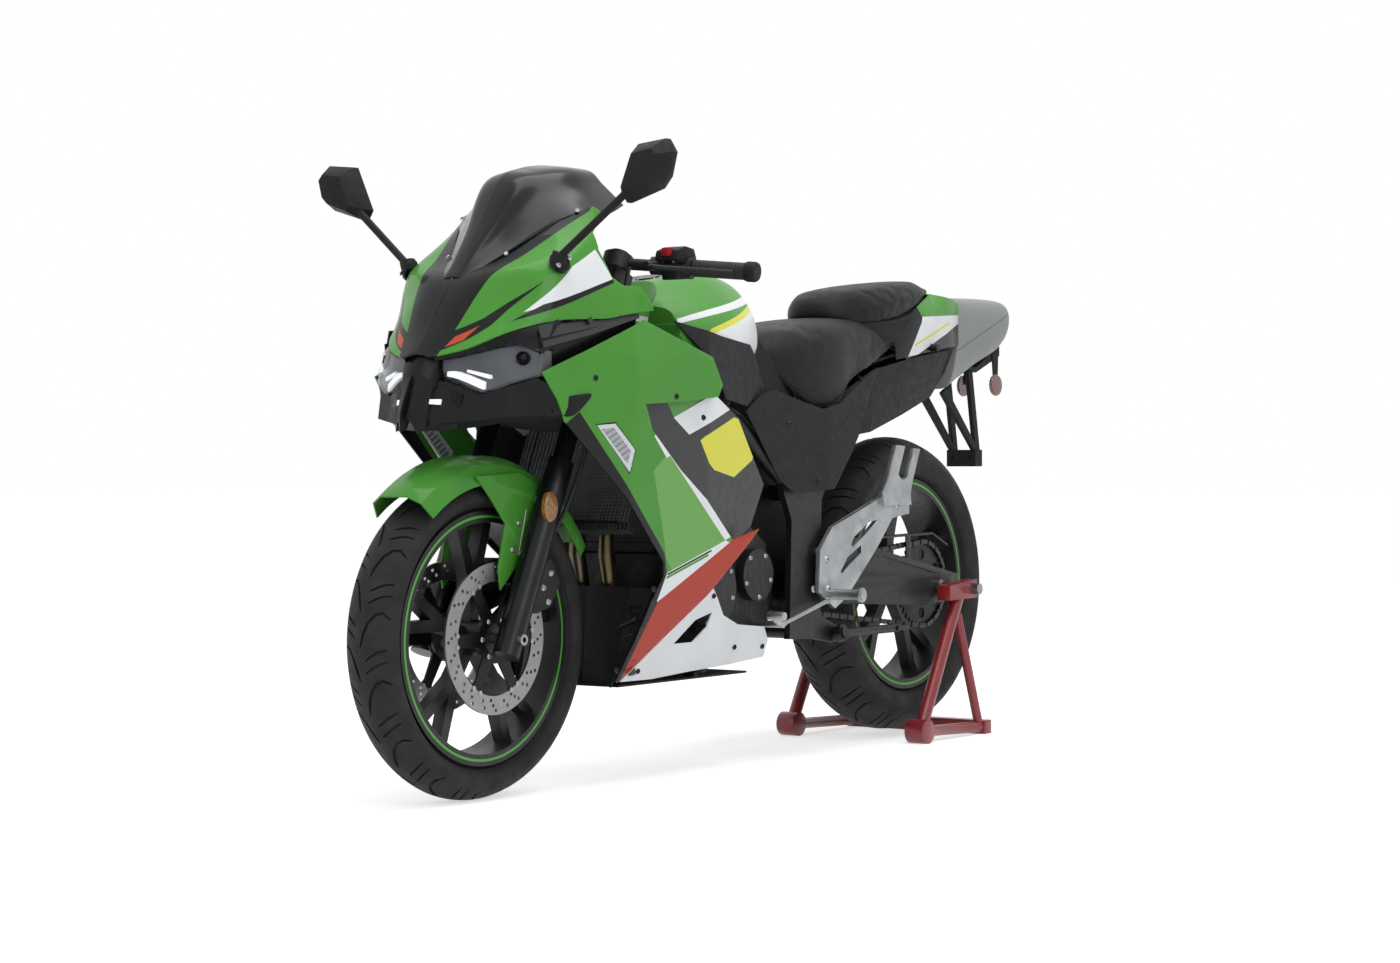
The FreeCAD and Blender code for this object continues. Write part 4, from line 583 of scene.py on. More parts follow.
LAMP = [
    (40, [(124, 792), (124, 768), (70, 768), (70, 792)]),
    (105, [(88, 808), (96, 734), (40, 734), (40, 808)]),
    (150, [(44, 822), (70, 748), (10, 748), (10, 822)]),
    (188, [(20, 806), (33, 762), (-10, 762), (-10, 806)]),
]
LENS_DEPTH = 11


def ring_body(name, rings, steps, *finishes, ends=True, twin=True):
    """A pair of bodies through rings of (x, y, z) points, curved from one ring to the next."""
    lines = [smooth(list(line), steps) if steps else line for line in zip(*rings)]
    shape = bmesh.new()
    for side in (1, -1) if twin else (1,):
        rows = [[shape.verts.new(spot(x, side * y, z)) for x, y, z in line] for line in lines]
        paired = list(zip(rows, rows[1:]))
        if ends:
            paired.append((rows[-1], rows[0]))
            shape.faces.new([row[0] for row in rows])
            shape.faces.new([row[-1] for row in rows])
        for first, second in paired:
            for k in range(len(first) - 1):
                shape.faces.new((first[k], first[k + 1], second[k + 1], second[k]))
    bmesh.ops.recalc_face_normals(shape, faces=shape.faces)
    return make_piece(name, shape, *finishes)


def moulded(name, colour, rough, grain=700, depth=0.00018):
    """Moulded plastic with the fine leather grain of its tool and worn gloss."""
    return grained(name, colour, rough, (0.2, 16), (grain, 3.0, depth), (0.14, 60),
                   Specular_IOR_Level=0.16)


housing_grey = moulded("reflector_grey", "#5F6063", 0.35, 200)
lens_clear = Finish("clear_polycarbonate", "#F2F4F6", 0.03, Transmission_Weight=1.0, IOR=1.08)
lens_clear.relief(lens_clear.noise(40, 1.0), 0.00005)
lens_clear.done(0.02, 30)
bar_white = Finish("light_bar_white", "#F4F4F4", 0.3, Emission_Strength=0.35)
bar_white.vary(0.05, 60)
bar_white.feed("Emission Color", bar_white.colour)
bar_white.relief((bar_white.y * 900).maths("SINE"), 0.0003)
bar_white.done(0.1, 200)
gloss_black = moulded("gloss_black_plastic", "#121315", 0.28, 300, 0.0001)
soft_black = moulded("grained_black_plastic", "#1C1C1E", 0.55)

lamp_cup = ring_body("lamp_housings", [
    [(x - LENS_DEPTH * (k < 2), y, z) for k, (x, z) in enumerate(line)] for y, line in LAMP], 9,
    housing_grey)
thicken(lamp_cup, 0, 1)
lens_rings = [[(line[0][0] - 26, y, line[0][1])] + [(x, y, z) for x, z in line[:2]]
              + [(line[1][0] - 26, y, line[1][1])] for y, line in LAMP]
lamp_lens = ring_body("lamp_lenses", lens_rings, 12, lens_clear, ends=False)
thicken(lamp_lens, 1.6, 0)
light_bars = ring_body("light_bars", [
    [(116, 52, 771), (117, 52, 762), (104, 52, 762), (104, 52, 771)],
    [(108, 72, 770), (109, 72, 757), (97, 72, 757), (97, 72, 770)],
    [(88, 112, 752), (90, 112, 738), (78, 112, 738), (78, 112, 752)],
], 6, bar_white)
thicken(light_bars, 0, 1.2)
upper_bars = ring_body("upper_light_bars", [
    [(100, 84, 774), (100, 84, 769), (90, 84, 769), (90, 84, 774)],
    [(84, 122, 764), (84, 122, 757), (74, 122, 757), (74, 122, 764)],
], 2, bar_white)
thicken(upper_bars, 0, 1)
lamp_lid = ring_body("lamp_lids", [
    [(133, 34, 800), (129, 34, 789), (96, 34, 789), (96, 34, 800)],
    [(92, 98, 818), (88, 98, 803), (56, 98, 803), (56, 98, 818)],
    [(30, 150, 847), (44, 150, 817), (6, 150, 817), (6, 150, 847)],
    [(-34, 184, 864), (16, 188, 802), (-14, 186, 802), (-50, 184, 864)],
], 12, gloss_black)
thicken(lamp_lid, 0, 1.2)


def turned_pair(name, profile, centre, way, *finishes, sides=28):
    """Bodies turned about a line through a centre along a vector: profile (along, radius)."""
    shape = bmesh.new()
    for side in (1, -1) if centre[1] else (1,):
        axis = Vector((way[0], side * way[1], way[2])).normalized()
        across = axis.orthogonal().normalized()
        beside = axis.cross(across)
        heart = spot(centre[0], side * centre[1], centre[2])
        rings = []
        for along, radius in profile:
            ring = []
            for k in range(sides if radius else 1):
                turn = 2 * math.pi * k / sides
                out = across * math.cos(turn) + beside * math.sin(turn)
                ring.append(shape.verts.new(heart + (axis * along + out * radius) * MM))
            rings.append(ring)
        for first, second in zip(rings, rings[1:]):
            for k in range(sides):
                corners = [first[k % len(first)], first[(k + 1) % len(first)],
                           second[(k + 1) % len(second)], second[k % len(second)]]
                shape.faces.new(list(dict.fromkeys(corners)))
    bmesh.ops.recalc_face_normals(shape, faces=shape.faces)
    return make_piece(name, shape, *finishes)


projector = turned_pair("lamp_projectors", [
    (-18, 0), (-18, 13), (2, 13), (4, 11), (1, 9), (3, 6.5), (6, 3), (7, 0)],
    (38, 162, 794), (0.75, 0.6, 0), gloss_black)
settle(projector, 25)
nose_lamp = ring_body("nose_lamps", [
    [(146, 30, 722), (148, 30, 714), (130, 30, 714), (130, 30, 722)],
    [(134, 50, 722), (136, 50, 712), (118, 50, 712), (118, 50, 722)],
], 2, bar_white)
thicken(nose_lamp, 0, 1)
nose_block = ring_body("nose_block", [
    [(132 + lead, y, 802), (146 + lead, y, 742), (112, y, 738), (98, y, 802)]
    for y, lead in ((-40, -10), (0, 0), (40, -10))], 0, gloss_black, twin=False)
thicken(nose_block, 0, 2)
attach(nose_block, "chassis")
for piece, slot in ((lamp_cup, "grey_plastic"), (lamp_lens, "clear_lens"), (light_bars, "clear_lens"),
                    (upper_bars, "clear_lens"), (lamp_lid, "black_plastic"),
                    (projector, "black_plastic"), (nose_lamp, "clear_lens")):
    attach(piece, "chassis")
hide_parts("front_lamps")

# Chin and intake: grained black mouldings that close the nose under the lamps and lead air in
# beside them. They clip to the cowl and the side fairings.

DUCT = [
    (16, [(182, 828), (178, 790), (168, 744)]),
    (-110, [(194, 850), (190, 815), (182, 776)]),
    (-232, [(206, 877), (204, 862), (200, 846)]),
]


def dress(finish, *nodes):
    """Gives CAD nodes that keep their shape their finish."""
    for node in nodes:
        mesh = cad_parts[node].data
        mesh.materials.clear()
        mesh.materials.append(finish.material)


dress(soft_black, "chin_cowl")
fangs = ring_body("chin_fangs", [
    [(126, 46, 742), (112, 84, 730), (84, 80, 728), (96, 48, 738)],
    [(138, 50, 664), (114, 72, 670), (100, 68, 676), (118, 48, 672)],
], 3, gloss_black)
thicken(fangs, 0, 1.5)
beak = ring_body("chin_beak", [
    [(144, 8, 764), (134, 36, 754), (112, 34, 754), (118, 8, 764)],
    [(170, 10, 700), (150, 34, 700), (128, 32, 704), (140, 8, 704)],
    [(162, 18, 662), (150, 30, 666), (138, 26, 672), (146, 16, 668)],
], 6, soft_black)
thicken(beak, 0, 1.5)
winglets = ring_body("chin_winglets", [
    [(6, 190, 718), (-6, 199, 694), (-24, 196, 690), (-18, 190, 718)],
    [(-34, 206, 727), (-44, 210, 692), (-50, 204, 692), (-50, 198, 722)],
    [(-84, 220, 732), (-82, 220, 724), (-82, 212, 724), (-84, 212, 732)],
], 6, soft_black)
thicken(winglets, 0, 1)
duct_skins = bmesh.new()
loft(duct_skins, DUCT, 12, 4)
loft(duct_skins, DUCT, 12, 4, -1)
intake_duct = make_piece("intake_ducts", duct_skins, gloss_black)
thicken(intake_duct, 3, 0)
for piece in (fangs, beak, winglets, intake_duct):
    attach(piece, "chassis")

# Side fairings: big moulded panels from the cowl down past the engine, painted green with
# lighter, white and red zones laid on under the lacquer, over white belly pans. Screws hold them
# to stays, and a clear indicator is let into each.

FAIRING = [
    (180, [(60, 85), (-200, 118), (-700, 124)]),
    (350, [(60, 140), (-200, 180), (-700, 180)]),
    (450, [(60, 170), (-200, 203), (-700, 198)]),
    (560, [(60, 184), (-200, 215), (-700, 206)]),
    (700, [(60, 194), (-200, 226), (-700, 220)]),
    (800, [(60, 194), (-200, 232), (-700, 226)]),
    (890, [(60, 186), (-200, 220), (-700, 216)]),
]
SIDE_OUTLINE = [
    (30, 768), (-236, 868), (-443, 804), (-480, 752), (-467, 729), (-352, 719), (-235, 714),
    (-261, 666), (-358, 592), (-450, 535), (-545, 456), (-634, 475), (-496, 358), (-275, 197),
    (-269, 201), (-294, 277), (-311, 348), (-336, 395), (-329, 420), (-289, 454), (-192, 545),
    (-26, 682), (-8, 719),
]
LAMP_OUTLINE = [(-104, 677), (-154, 681), (-213, 630), (-198, 585)]
BELLY_OUTLINE = [
    (-284, 198), (-392, 282), (-505, 364), (-560, 310), (-620, 288), (-713, 279), (-737, 252),
    (-737, 218), (-621, 209), (-499, 204), (-380, 197),
]
BELLY_HOLE = [(-420, 262), (-470, 305), (-520, 318), (-515, 290), (-480, 262)]
INDICATOR = [(-108, 675), (-154, 678), (-210, 630), (-198, 590)]
RED = "#B03A27"
PANEL_GRID = 12


def wall_depth(levels, x, z):
    """The y of a curved upright wall at a place, from its levels (z, [(x, y), ...])."""
    heights = []
    for up, line in levels:
        line = sorted(line)
        for (x1, y1), (x2, y2) in zip(line, line[1:]):
            if x <= x2 or (x2, y2) == line[-1]:
                heights.append((up, y1 + (y2 - y1) * (x - x1) / (x2 - x1)))
                break
    for (z1, y1), (z2, y2) in zip(heights, heights[1:]):
        if z <= z2 or z2 == heights[-1][0]:
            return y1 + (y2 - y1) * (z - z1) / (z2 - z1)


def side_panel(name, outline, levels, wall, edge, *finishes):
    """A pair of curved panels over a side outline, left and right."""
    shape = bmesh.new()
    shape.faces.new([shape.verts.new((x, 0, z)) for x, z in outline])
    for axis in (0, 2):
        places = [point[axis // 2] for point in outline]
        k = math.ceil(min(places) / PANEL_GRID)
        while k * PANEL_GRID < max(places):
            at = Vector((0, 0, 0))
            at[axis] = k * PANEL_GRID
            way = Vector((0, 0, 0))
            way[axis] = 1
            geometry = shape.verts[:] + shape.edges[:] + shape.faces[:]
            bmesh.ops.bisect_plane(shape, geom=geometry, dist=0.01, plane_co=at, plane_no=way)
            k += 1
    for dot in shape.verts:
        x, z = dot.co.x, dot.co.z
        dot.co = spot(x, wall_depth(levels, x, z), z)
    left = shape.faces[:]
    bmesh.ops.recalc_face_normals(shape, faces=left)
    if sum(face.normal.y for face in left) < 0:
        bmesh.ops.reverse_faces(shape, faces=left)
    twin = bmesh.ops.duplicate(shape, geom=shape.verts[:] + shape.edges[:] + left)["geom"]
    for dot in (item for item in twin if isinstance(item, bmesh.types.BMVert)):
        dot.co.y = -dot.co.y
    bmesh.ops.reverse_faces(shape, faces=[f for f in twin if isinstance(f, bmesh.types.BMFace)])
    pair = make_piece(name, shape, *finishes)
    return thicken(pair, wall, edge)


fairing_paint = lacquered("fairing_paint", GREEN)
light = zone(fairing_paint, [(-212, 547), (-315, 624), (-520, 466), (-521, 456), (-498, 445),
                             (-344, 400), (-333, 429), (-266, 489)])
fairing_paint.paint(light, tone(LIGHT_GREEN))
white_band = zone(fairing_paint, [(-315, 624), (-345, 640), (-560, 470), (-520, 456)])
white_foot = zone(fairing_paint, [(-344, 400), (-520, 456), (-556, 446), (-327, 345)])
white_head = zone(fairing_paint, [(-268, 655), (-280, 668), (-345, 655), (-341, 626), (-310, 615)])
fairing_paint.paint(white_band.most(white_foot).most(white_head), tone(WHITE))
red_wedge = zone(fairing_paint, [(-327, 345), (-548, 458), (-640, 484), (-520, 360), (-403, 275),
                                 (-266, 193)])
fairing_paint.paint(red_wedge, tone(RED))
fairing_paint.paint(stripe(fairing_paint, (-347, 397), (-478, 438), 4), tone(BLACK))
fairing_paint.paint(stripe(fairing_paint, (-346, 391), (-470, 430), 5), tone(GREEN))
for edge_strip in (
        [(-10, 664), (-34, 681), (-62, 699), (-213, 545), (-185, 540)],
        [(-213, 545), (-328, 436), (-345, 399), (-300, 400), (-180, 544)],
        [(-345, 399), (-328, 347), (-309, 337), (-250, 337), (-300, 400)],
        [(-332, 347), (-280, 194), (-240, 194), (-280, 350)]):
    fairing_paint.paint(zone(fairing_paint, edge_strip), tone(BLACK))
finish_lacquer(fairing_paint)

side_fairings = side_panel("side_fairing_pair", SIDE_OUTLINE, FAIRING, 3, 0.9, fairing_paint)
cut_away(side_fairings, side_slab("lamp_knife", LAMP_OUTLINE))
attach(side_fairings, "chassis")
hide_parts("side_fairings")

belly_paint = lacquered("belly_paint", WHITE)
finish_lacquer(belly_paint)
belly_pans = side_panel("belly_pan_pair", BELLY_OUTLINE, FAIRING, 3, 0.9, belly_paint)
cut_away(belly_pans, side_slab("vent_knife", BELLY_HOLE))
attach(belly_pans, "chassis")
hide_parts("belly_pans")

screws("fairing_screws", "chassis", black_screw, 6, both_sides([
    ((x, wall_depth(FAIRING, x, z), z), (0.1, 1, 0.1)) for x, z in (
        (-311, 372), (-262, 222), (-329, 216), (-509, 350), (-626, 244), (-722, 240), (-100, 760),
        (-330, 729), (-420, 690))]))

indicator_lens = Finish("indicator_lens", "#D3D7DA", 0.12, Coat_Weight=0.5)
indicator_lens.vary(0.1, 30)
reflector = zone(indicator_lens, [(-120, 668), (-151, 670), (-198, 628), (-190, 606)])
flutes = (indicator_lens.z * 520 + indicator_lens.x * 260).maths("SINE")
indicator_lens.paint(reflector, tone("#9FA4A8"))
indicator_lens.paint(reflector * flutes.ramp(0.1, 0.8) * 0.7, tone("#5B5F63"))
indicator_lens.relief(reflector * flutes, 0.001)
indicator_lens.done()
indicators = side_panel("indicator_pair", INDICATOR, FAIRING, 5, 1.2, indicator_lens)
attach(indicators, "chassis")

# Inner panels: black mouldings in the fairing's openings, pressed onto bosses, with the green
# and white graphics carried over them and a plain yellow shield.

YELLOW = "#DEDB46"

inner_black = Finish("inner_panel_plastic", "#242527", 0.45)
inner_black.vary(0.2, 14)
inner_black.paint(zone(inner_black, [(-225, 736), (-490, 745), (-352, 690), (-381, 655), (-300, 640)]),
                  tone(GREEN))
inner_black.paint(zone(inner_black, [(-351, 690), (-403, 658), (-546, 706), (-541, 725), (-489, 739)]),
                  tone(WHITE))
inner_black.paint(zone(inner_black, [
    (-440, 647), (-455, 655), (-563, 691), (-592, 687), (-647, 618), (-640, 608), (-570, 576),
    (-492, 591), (-472, 604)]), tone(YELLOW))
inner_black.relief(inner_black.noise(700, 3.0), 0.00015)
inner_black.done(0.12, 60)
dress(inner_black, "inner_panels")

# Tank: pressed steel, seam-welded under its edge and painted, with white, yellow and green
# zones on its sides. Bolts hold it to posts on the frame rails.

TANK = [
    (-385, [(0, 905), (140, 900), (182, 878), (180, 835), (0, 835)]),
    (-440, [(0, 940), (85, 935), (180, 880), (172, 800), (0, 800)]),
    (-600, [(0, 976), (90, 966), (170, 880), (150, 790), (0, 790)]),
    (-720, [(0, 968), (80, 952), (132, 880), (118, 800), (0, 800)]),
    (-757, [(0, 925), (60, 915), (104, 872), (98, 830), (0, 830)]),
]
LID_WAY = (36, 0, 160)
LID_SEAT = (-545.9, 0, 959.7)

tank_paint = lacquered("tank_paint", GREEN)
tank_paint.paint(zone(tank_paint, [(-385, 866), (-392, 876), (-745, 937), (-757, 924)]), tone(WHITE))
tank_paint.paint(zone(tank_paint, [(-480, 846), (-500, 860), (-745, 921), (-757, 905)]), tone(YELLOW))
tank_paint.paint(zone(tank_paint, [(-470, 842), (-745, 909), (-760, 860), (-700, 800), (-600, 800)]),
                 tone(WHITE))
finish_lacquer(tank_paint)
fuel_tank = mirrored_skin("fuel_tank_shell", TANK, 44, 28, tank_paint, filled=True)
for name, radius, reach, foot, way in (
        ("steering_room", 140, 400, (-248, 0, 750), (-0.4226, 0, 0.9063)),
        ("lid_recess", 43.5, 60, LID_SEAT, LID_WAY)):
    bore = turned_pair(name, [(0, 0), (0, radius), (reach, radius), (reach, 0)], foot, way, sides=48)
    cut_away(fuel_tank, bore)
thicken(fuel_tank, 0, 2)
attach(fuel_tank, "chassis")
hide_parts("fuel_tank")

# Tank and side covers: grained dark grey plastic over the frame rails beside the tank and the
# seat, held by pins in rubber and one screw each. Black liners close the gaps behind them.

COVER_WALL = [
    (690, [(-330, 208), (-470, 212), (-560, 190), (-700, 155), (-760, 150)]),
    (900, [(-330, 200), (-470, 198), (-560, 182), (-700, 152), (-760, 142)]),
]
TANK_COVER = [(-361, 870), (-530, 846), (-664, 834), (-690, 812), (-724, 752), (-640, 714),
              (-536, 726), (-467, 803)]
SIDE_WALL = [
    (530, [(-600, 166), (-950, 158), (-1200, 134)]),
    (700, [(-600, 168), (-950, 160), (-1200, 132)]),
    (800, [(-600, 160), (-950, 158), (-1200, 126)]),
]
SIDE_COVER = [(-640, 704), (-700, 738), (-746, 747), (-834, 727), (-925, 710), (-1000, 724),
              (-1070, 758), (-1180, 800), (-1100, 700), (-1079, 657), (-1046, 621), (-969, 547),
              (-814, 541), (-761, 568)]

cover_grey = Finish("grained_grey_plastic", "#202123", 0.58, Specular_IOR_Level=0.16)
cover_grey.vary(0.15, 12)
cover_grey.paint(stripe(cover_grey, (-966, 655), (-1190, 806), 4), tone("#161617"))
for x, z in ((-798, 677), (-898, 564)):
    cover_grey.paint(zone(cover_grey, [(x - 5, z - 9), (x + 5, z - 7), (x + 5, z + 9), (x - 5, z + 7)]),
                     tone("#0C0C0D"))
cover_grey.relief(cover_grey.noise(800, 3.0), 0.0002)
cover_grey.done(0.12, 60)
tank_covers = side_panel("tank_cover_pair", TANK_COVER, COVER_WALL, 3, 1.2, cover_grey)
side_covers = side_panel("side_cover_pair", SIDE_COVER, SIDE_WALL, 3, 1.2, cover_grey)
LINER = [(-655, 705), (-700, 800), (-760, 850), (-812, 800), (-870, 740), (-840, 640), (-760, 600)]
liners = side_panel("cover_liner_pair", LINER, [(500, [(-600, 128), (-900, 128)]),
                                                (900, [(-600, 110), (-900, 112)])], 3, 0, soft_black)
for piece in (tank_covers, side_covers, liners):
    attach(piece, "chassis")
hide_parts("side_covers")
screws("side_cover_screws", "chassis", black_screw, 6, both_sides([
    ((-796, 163.3, 680), (0, 1, 0)), ((-905, 159.3, 564), (0, 1, 0))]))

# Seats: moulded foam under grained vinyl, stapled to plastic bases. The rider's seat dips
# between the covers; the pillion pad is a crowned block with a seam across it.

RIDER_SEAT = [
    (-765, 92, 847, 816), (-850, 125, 868, 748), (-930, 140, 879, 716), (-1010, 142, 891, 724),
    (-1090, 130, 899, 770), (-1200, 118, 898, 806), (-1296, 104, 898, 846),
]
PILLION_SEAT = [
    (-1102, 30, 932, 905), (-1118, 58, 946, 892), (-1160, 86, 959, 886), (-1215, 103, 968, 888),
    (-1300, 110, 979, 902), (-1410, 100, 989, 935), (-1505, 62, 993, 972),
]
PAD_ROLL = 26
SWELL_CAP = 6 * MM
PUFF = 4
PUFF_FRAMES = 20

vinyl = Finish("seat_vinyl", "#151617", 0.5, Sheen_Weight=0.03, Specular_IOR_Level=0.2)
vinyl.vary(0.2, 10)
seam_lines = None
for start, end in (((-1330, 1010), (-1352, 950)), ((-1352, 950), (-1372, 900)),
                   ((-1185, 905), (-1215, 800)), ((-760, 800), (-905, 735))):
    line = stripe(vinyl, start, end, 2.2)
    seam_lines = line if seam_lines is None else seam_lines.most(line)
vinyl.paint(seam_lines, tone("#141415"))
pores = vinyl.add("ShaderNodeTexVoronoi", {}, {"Vector": vinyl.place, "Scale": 620.0})
vinyl.relief(pores * 0.2 + vinyl.noise(90, 3.0) * 0.25 - seam_lines * 1.2, 0.0012)
vinyl.done(0.14, 40)


def pad_sections(rows):
    """Half sections of a pad from (x, half width, top, bottom), rolled over at its sides."""
    sections = []
    for x, half, top, bottom in rows:
        drop = min(1.3 * PAD_ROLL, 0.55 * (top - bottom))
        sections.append((x, [
            (0, top), (0.5 * half, top - 0.1 * PAD_ROLL), (0.8 * half, top - 0.42 * PAD_ROLL),
            (0.97 * half, top - drop), (half, 0.5 * (top + bottom)),
            (0.97 * half, bottom + 3), (0.85 * half, bottom), (0.5 * half, max(bottom, top - 60)),
            (0, max(bottom, top - 60))]))
    return sections


def padded(name, rows, grid):
    """A pad's cover, remeshed on an even grid and blown up a little over its foam."""
    pad = mirrored_skin(name, pad_sections(rows), 40, 40, vinyl, filled=True)
    even = pad.modifiers.new("even", "REMESH")
    even.mode = "VOXEL"
    even.voxel_size = grid * MM
    soft = pad.modifiers.new("soft", "SMOOTH")
    soft.factor = 0.5
    soft.iterations = 6
    settle(pad)
    pad.data.materials.clear()
    pad.data.materials.append(vinyl.material)
    rest = [dot.co.copy() for dot in pad.data.vertices]
    air_fill = pad.modifiers.new("air_fill", "CLOTH")
    air_fill.settings.use_pressure = True
    air_fill.settings.uniform_pressure_force = PUFF
    air_fill.settings.effector_weights.gravity = 0
    air_fill.settings.quality = 4
    air_fill.point_cache.frame_end = PUFF_FRAMES
    for frame_number in range(1, PUFF_FRAMES + 1):
        bpy.context.scene.frame_set(frame_number)
    blown = pad.evaluated_get(bpy.context.evaluated_depsgraph_get()).data
    moved = [dot.co.copy() for dot in blown.vertices]
    pad.modifiers.clear()
    for dot, start, end in zip(pad.data.vertices, rest, moved):
        way = end - start
        dot.co = start + way * min(1, SWELL_CAP / max(way.length, 1e-6))
    bpy.context.scene.frame_set(1)
    finer = pad.modifiers.new("finer", "SUBSURF")
    finer.levels = 1
    finer.render_levels = 1
    return settle(pad, 60)


rider_seat = padded("rider_seat_cover", RIDER_SEAT, 8)
pillion_seat = padded("pillion_seat_cover", PILLION_SEAT, 7)
for piece, node in ((rider_seat, "rider_seat"), (pillion_seat, "pillion_seat")):
    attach(piece, "chassis")
    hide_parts(node)
seat_base = mirrored_skin("pillion_base", [
    (-1122, [(0, 898), (50, 896), (60, 886), (52, 874), (0, 874)]),
    (-1205, [(0, 902), (90, 898), (104, 884), (98, 852), (0, 852)]),
    (-1330, [(0, 922), (98, 916), (108, 890), (104, 850), (0, 850)]),
    (-1440, [(0, 960), (82, 955), (92, 905), (90, 866), (0, 866)]),
], 16, 16, soft_black, filled=True)
thicken(seat_base, 0, 1)
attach(seat_base, "chassis")

# Tail: a painted cowl with green and white over black, a silver-grey end piece, a red lamp, and
# a black moulded under-tail that holds the plate bracket with a reflector on each side.

TAIL_END = [
    (-1598, [(0, 966), (58, 961), (76, 930), (72, 850), (50, 770), (0, 760)]),
    (-1720, [(0, 968), (56, 963), (76, 925), (66, 850), (45, 818), (0, 814)]),
    (-1800, [(0, 968), (53, 963), (74, 932), (68, 880), (48, 848), (0, 844)]),
    (-1836, [(0, 966), (50, 960), (70, 934), (66, 896), (47, 871), (0, 867)]),
]
REFLECTOR_ARM = [(-1818, 775), (-1834, 775), (-1838, 850), (-1810, 846)]
REFLECTOR_LINE = 40
TAIL_BLACK = "#1C1D1F"
FLAT_UNDER = 3

tail_paint = lacquered("tail_paint", TAIL_BLACK)
tail_paint.paint(zone(tail_paint, [(-1397, 913), (-1340, 1000), (-1600, 1000), (-1600, 924)]),
                 tone(GREEN))
tail_paint.paint(zone(tail_paint, [(-1397, 914), (-1600, 925), (-1600, 906), (-1314, 813)]),
                 tone(WHITE))
tail_paint.paint(stripe(tail_paint, (-1352, 850), (-1540, 905), 5), tone(YELLOW))
tail_paint.paint(zone(tail_paint, [(-1300, 808), (-1620, 912), (-1620, 840), (-1300, 790)]),
                 tone(TAIL_BLACK))
finish_lacquer(tail_paint)


def softened(node, body, edge, finish):
    """A CAD node's own shape with its edges rounded, in its place."""
    shape = bmesh.new()
    shape.from_mesh(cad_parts[node].data)
    bmesh.ops.remove_doubles(shape, verts=shape.verts, dist=WELD)
    bmesh.ops.dissolve_limit(shape, angle_limit=math.radians(FLAT_UNDER), verts=shape.verts,
                             edges=shape.edges)
    piece = make_piece(node + "_rounded", shape, finish)
    thicken(piece, 0, edge)
    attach(piece, body)
    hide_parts(node)
    return piece


softened("tail_cowl", "chassis", 1, tail_paint)
tail_grey = lacquered("tail_end_grey", "#939796")
tail_grey.paint(stripe(tail_grey, (-1600, 845), (-1836, 938), 2.5), tone("#5E6362"))
finish_lacquer(tail_grey)
tail_end = mirrored_skin("tail_end_cap", TAIL_END, 24, 30, tail_grey, filled=True)
thicken(tail_end, 0, 2.5)
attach(tail_end, "chassis")
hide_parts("tail_end")

red_lens = Finish("red_lamp_lens", "#6E1A1D", 0.12, Coat_Weight=0.8)
red_lens.vary(0.2, 60)
facets = red_lens.add("ShaderNodeTexVoronoi", {}, {"Vector": red_lens.place, "Scale": 190.0})
red_lens.relief(facets, 0.001)
red_lens.done(0.05, 80)
dress(red_lens, "tail_lamp")
dress(soft_black, "under_tail", "plate_bracket")
side_reflectors = turned_pair("side_reflectors", [(0, 0), (0, 24), (4, 25), (7, 23), (8, 0)],
                              (-1819, REFLECTOR_LINE, 772), (0, 1, 0), red_lens, sides=32)
settle(side_reflectors, 25)
reflector_arms = side_panel("reflector_arm_pair", REFLECTOR_ARM, [
    (z, [(-1900, REFLECTOR_LINE), (-1800, REFLECTOR_LINE)]) for z in (700, 900)], 3, 0, soft_black)
for piece, slot in ((side_reflectors, "red_lens"), (reflector_arms, "black_plastic")):
    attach(piece, "chassis")

# Tyres: rubber carcasses moulded with sidewall rings and a road tread, whose hooked and
# straight grooves are cut at an even pitch round the crown. They seat on the rims by air.

REAR_X = -1410
REAR_Z = 334
FRONT_Z = 293
TYRES = [
    ("front_road_tyre", "front_tyre", "front_wheel", 0, FRONT_Z, 293, 110, 80, 15),
    ("rear_road_tyre", "rear_tyre", "rear_wheel", REAR_X, REAR_Z, 320, 150, 112, 16),
]
TYRE_SIDES = 150
HOOK = [(0.0, 0.02), (0.16, 0.07), (0.34, 0.15), (0.46, 0.25), (0.50, 0.35), (0.42, 0.45)]
HOOK_WIDTH = 7
SLASH = [(0.0, 0.10), (0.06, 0.20), (0.12, 0.31), (0.16, 0.43)]
SLASH_WIDTH = 5.5
SLASH_STARTS = (0.62, 0.80)
GROOVE_DEPTH = 4
GROOVE_FOOT = 0.7
GROOVE_TIP = 0.4
RIM_SEAT = 218
RIM_FLANGE = 230
RIM_LIP = 9.3
SIDEWALL_RINGS_TO = 0.262

rubber = Finish("tyre_rubber", "#1D1D1E", 0.72, Specular_IOR_Level=0.35)
rubber.vary(0.3, 18)


def from_axle(finish):
    """Distance in metres from the nearer wheel's axle line, for rings on a wheel."""
    distances = []
    for x, z in ((0, FRONT_Z), (REAR_X, REAR_Z)):
        off_x = finish.x - (AXLE_X + x * MM)
        off_z = finish.z - z * MM
        distances.append((off_x * off_x + off_z * off_z).maths("SQRT"))
    return distances[0].least(distances[1])


tyre_ring = from_axle(rubber)
sidewall = (tyre_ring * -1 + SIDEWALL_RINGS_TO).ramp(0, 0.004)
sidewall_rings = (tyre_ring * 1500).maths("SINE") * sidewall
rubber.relief(sidewall_rings * 0.3 + rubber.noise(350, 3.0) * 0.5, 0.0005)
rubber.done(0.2, 30)


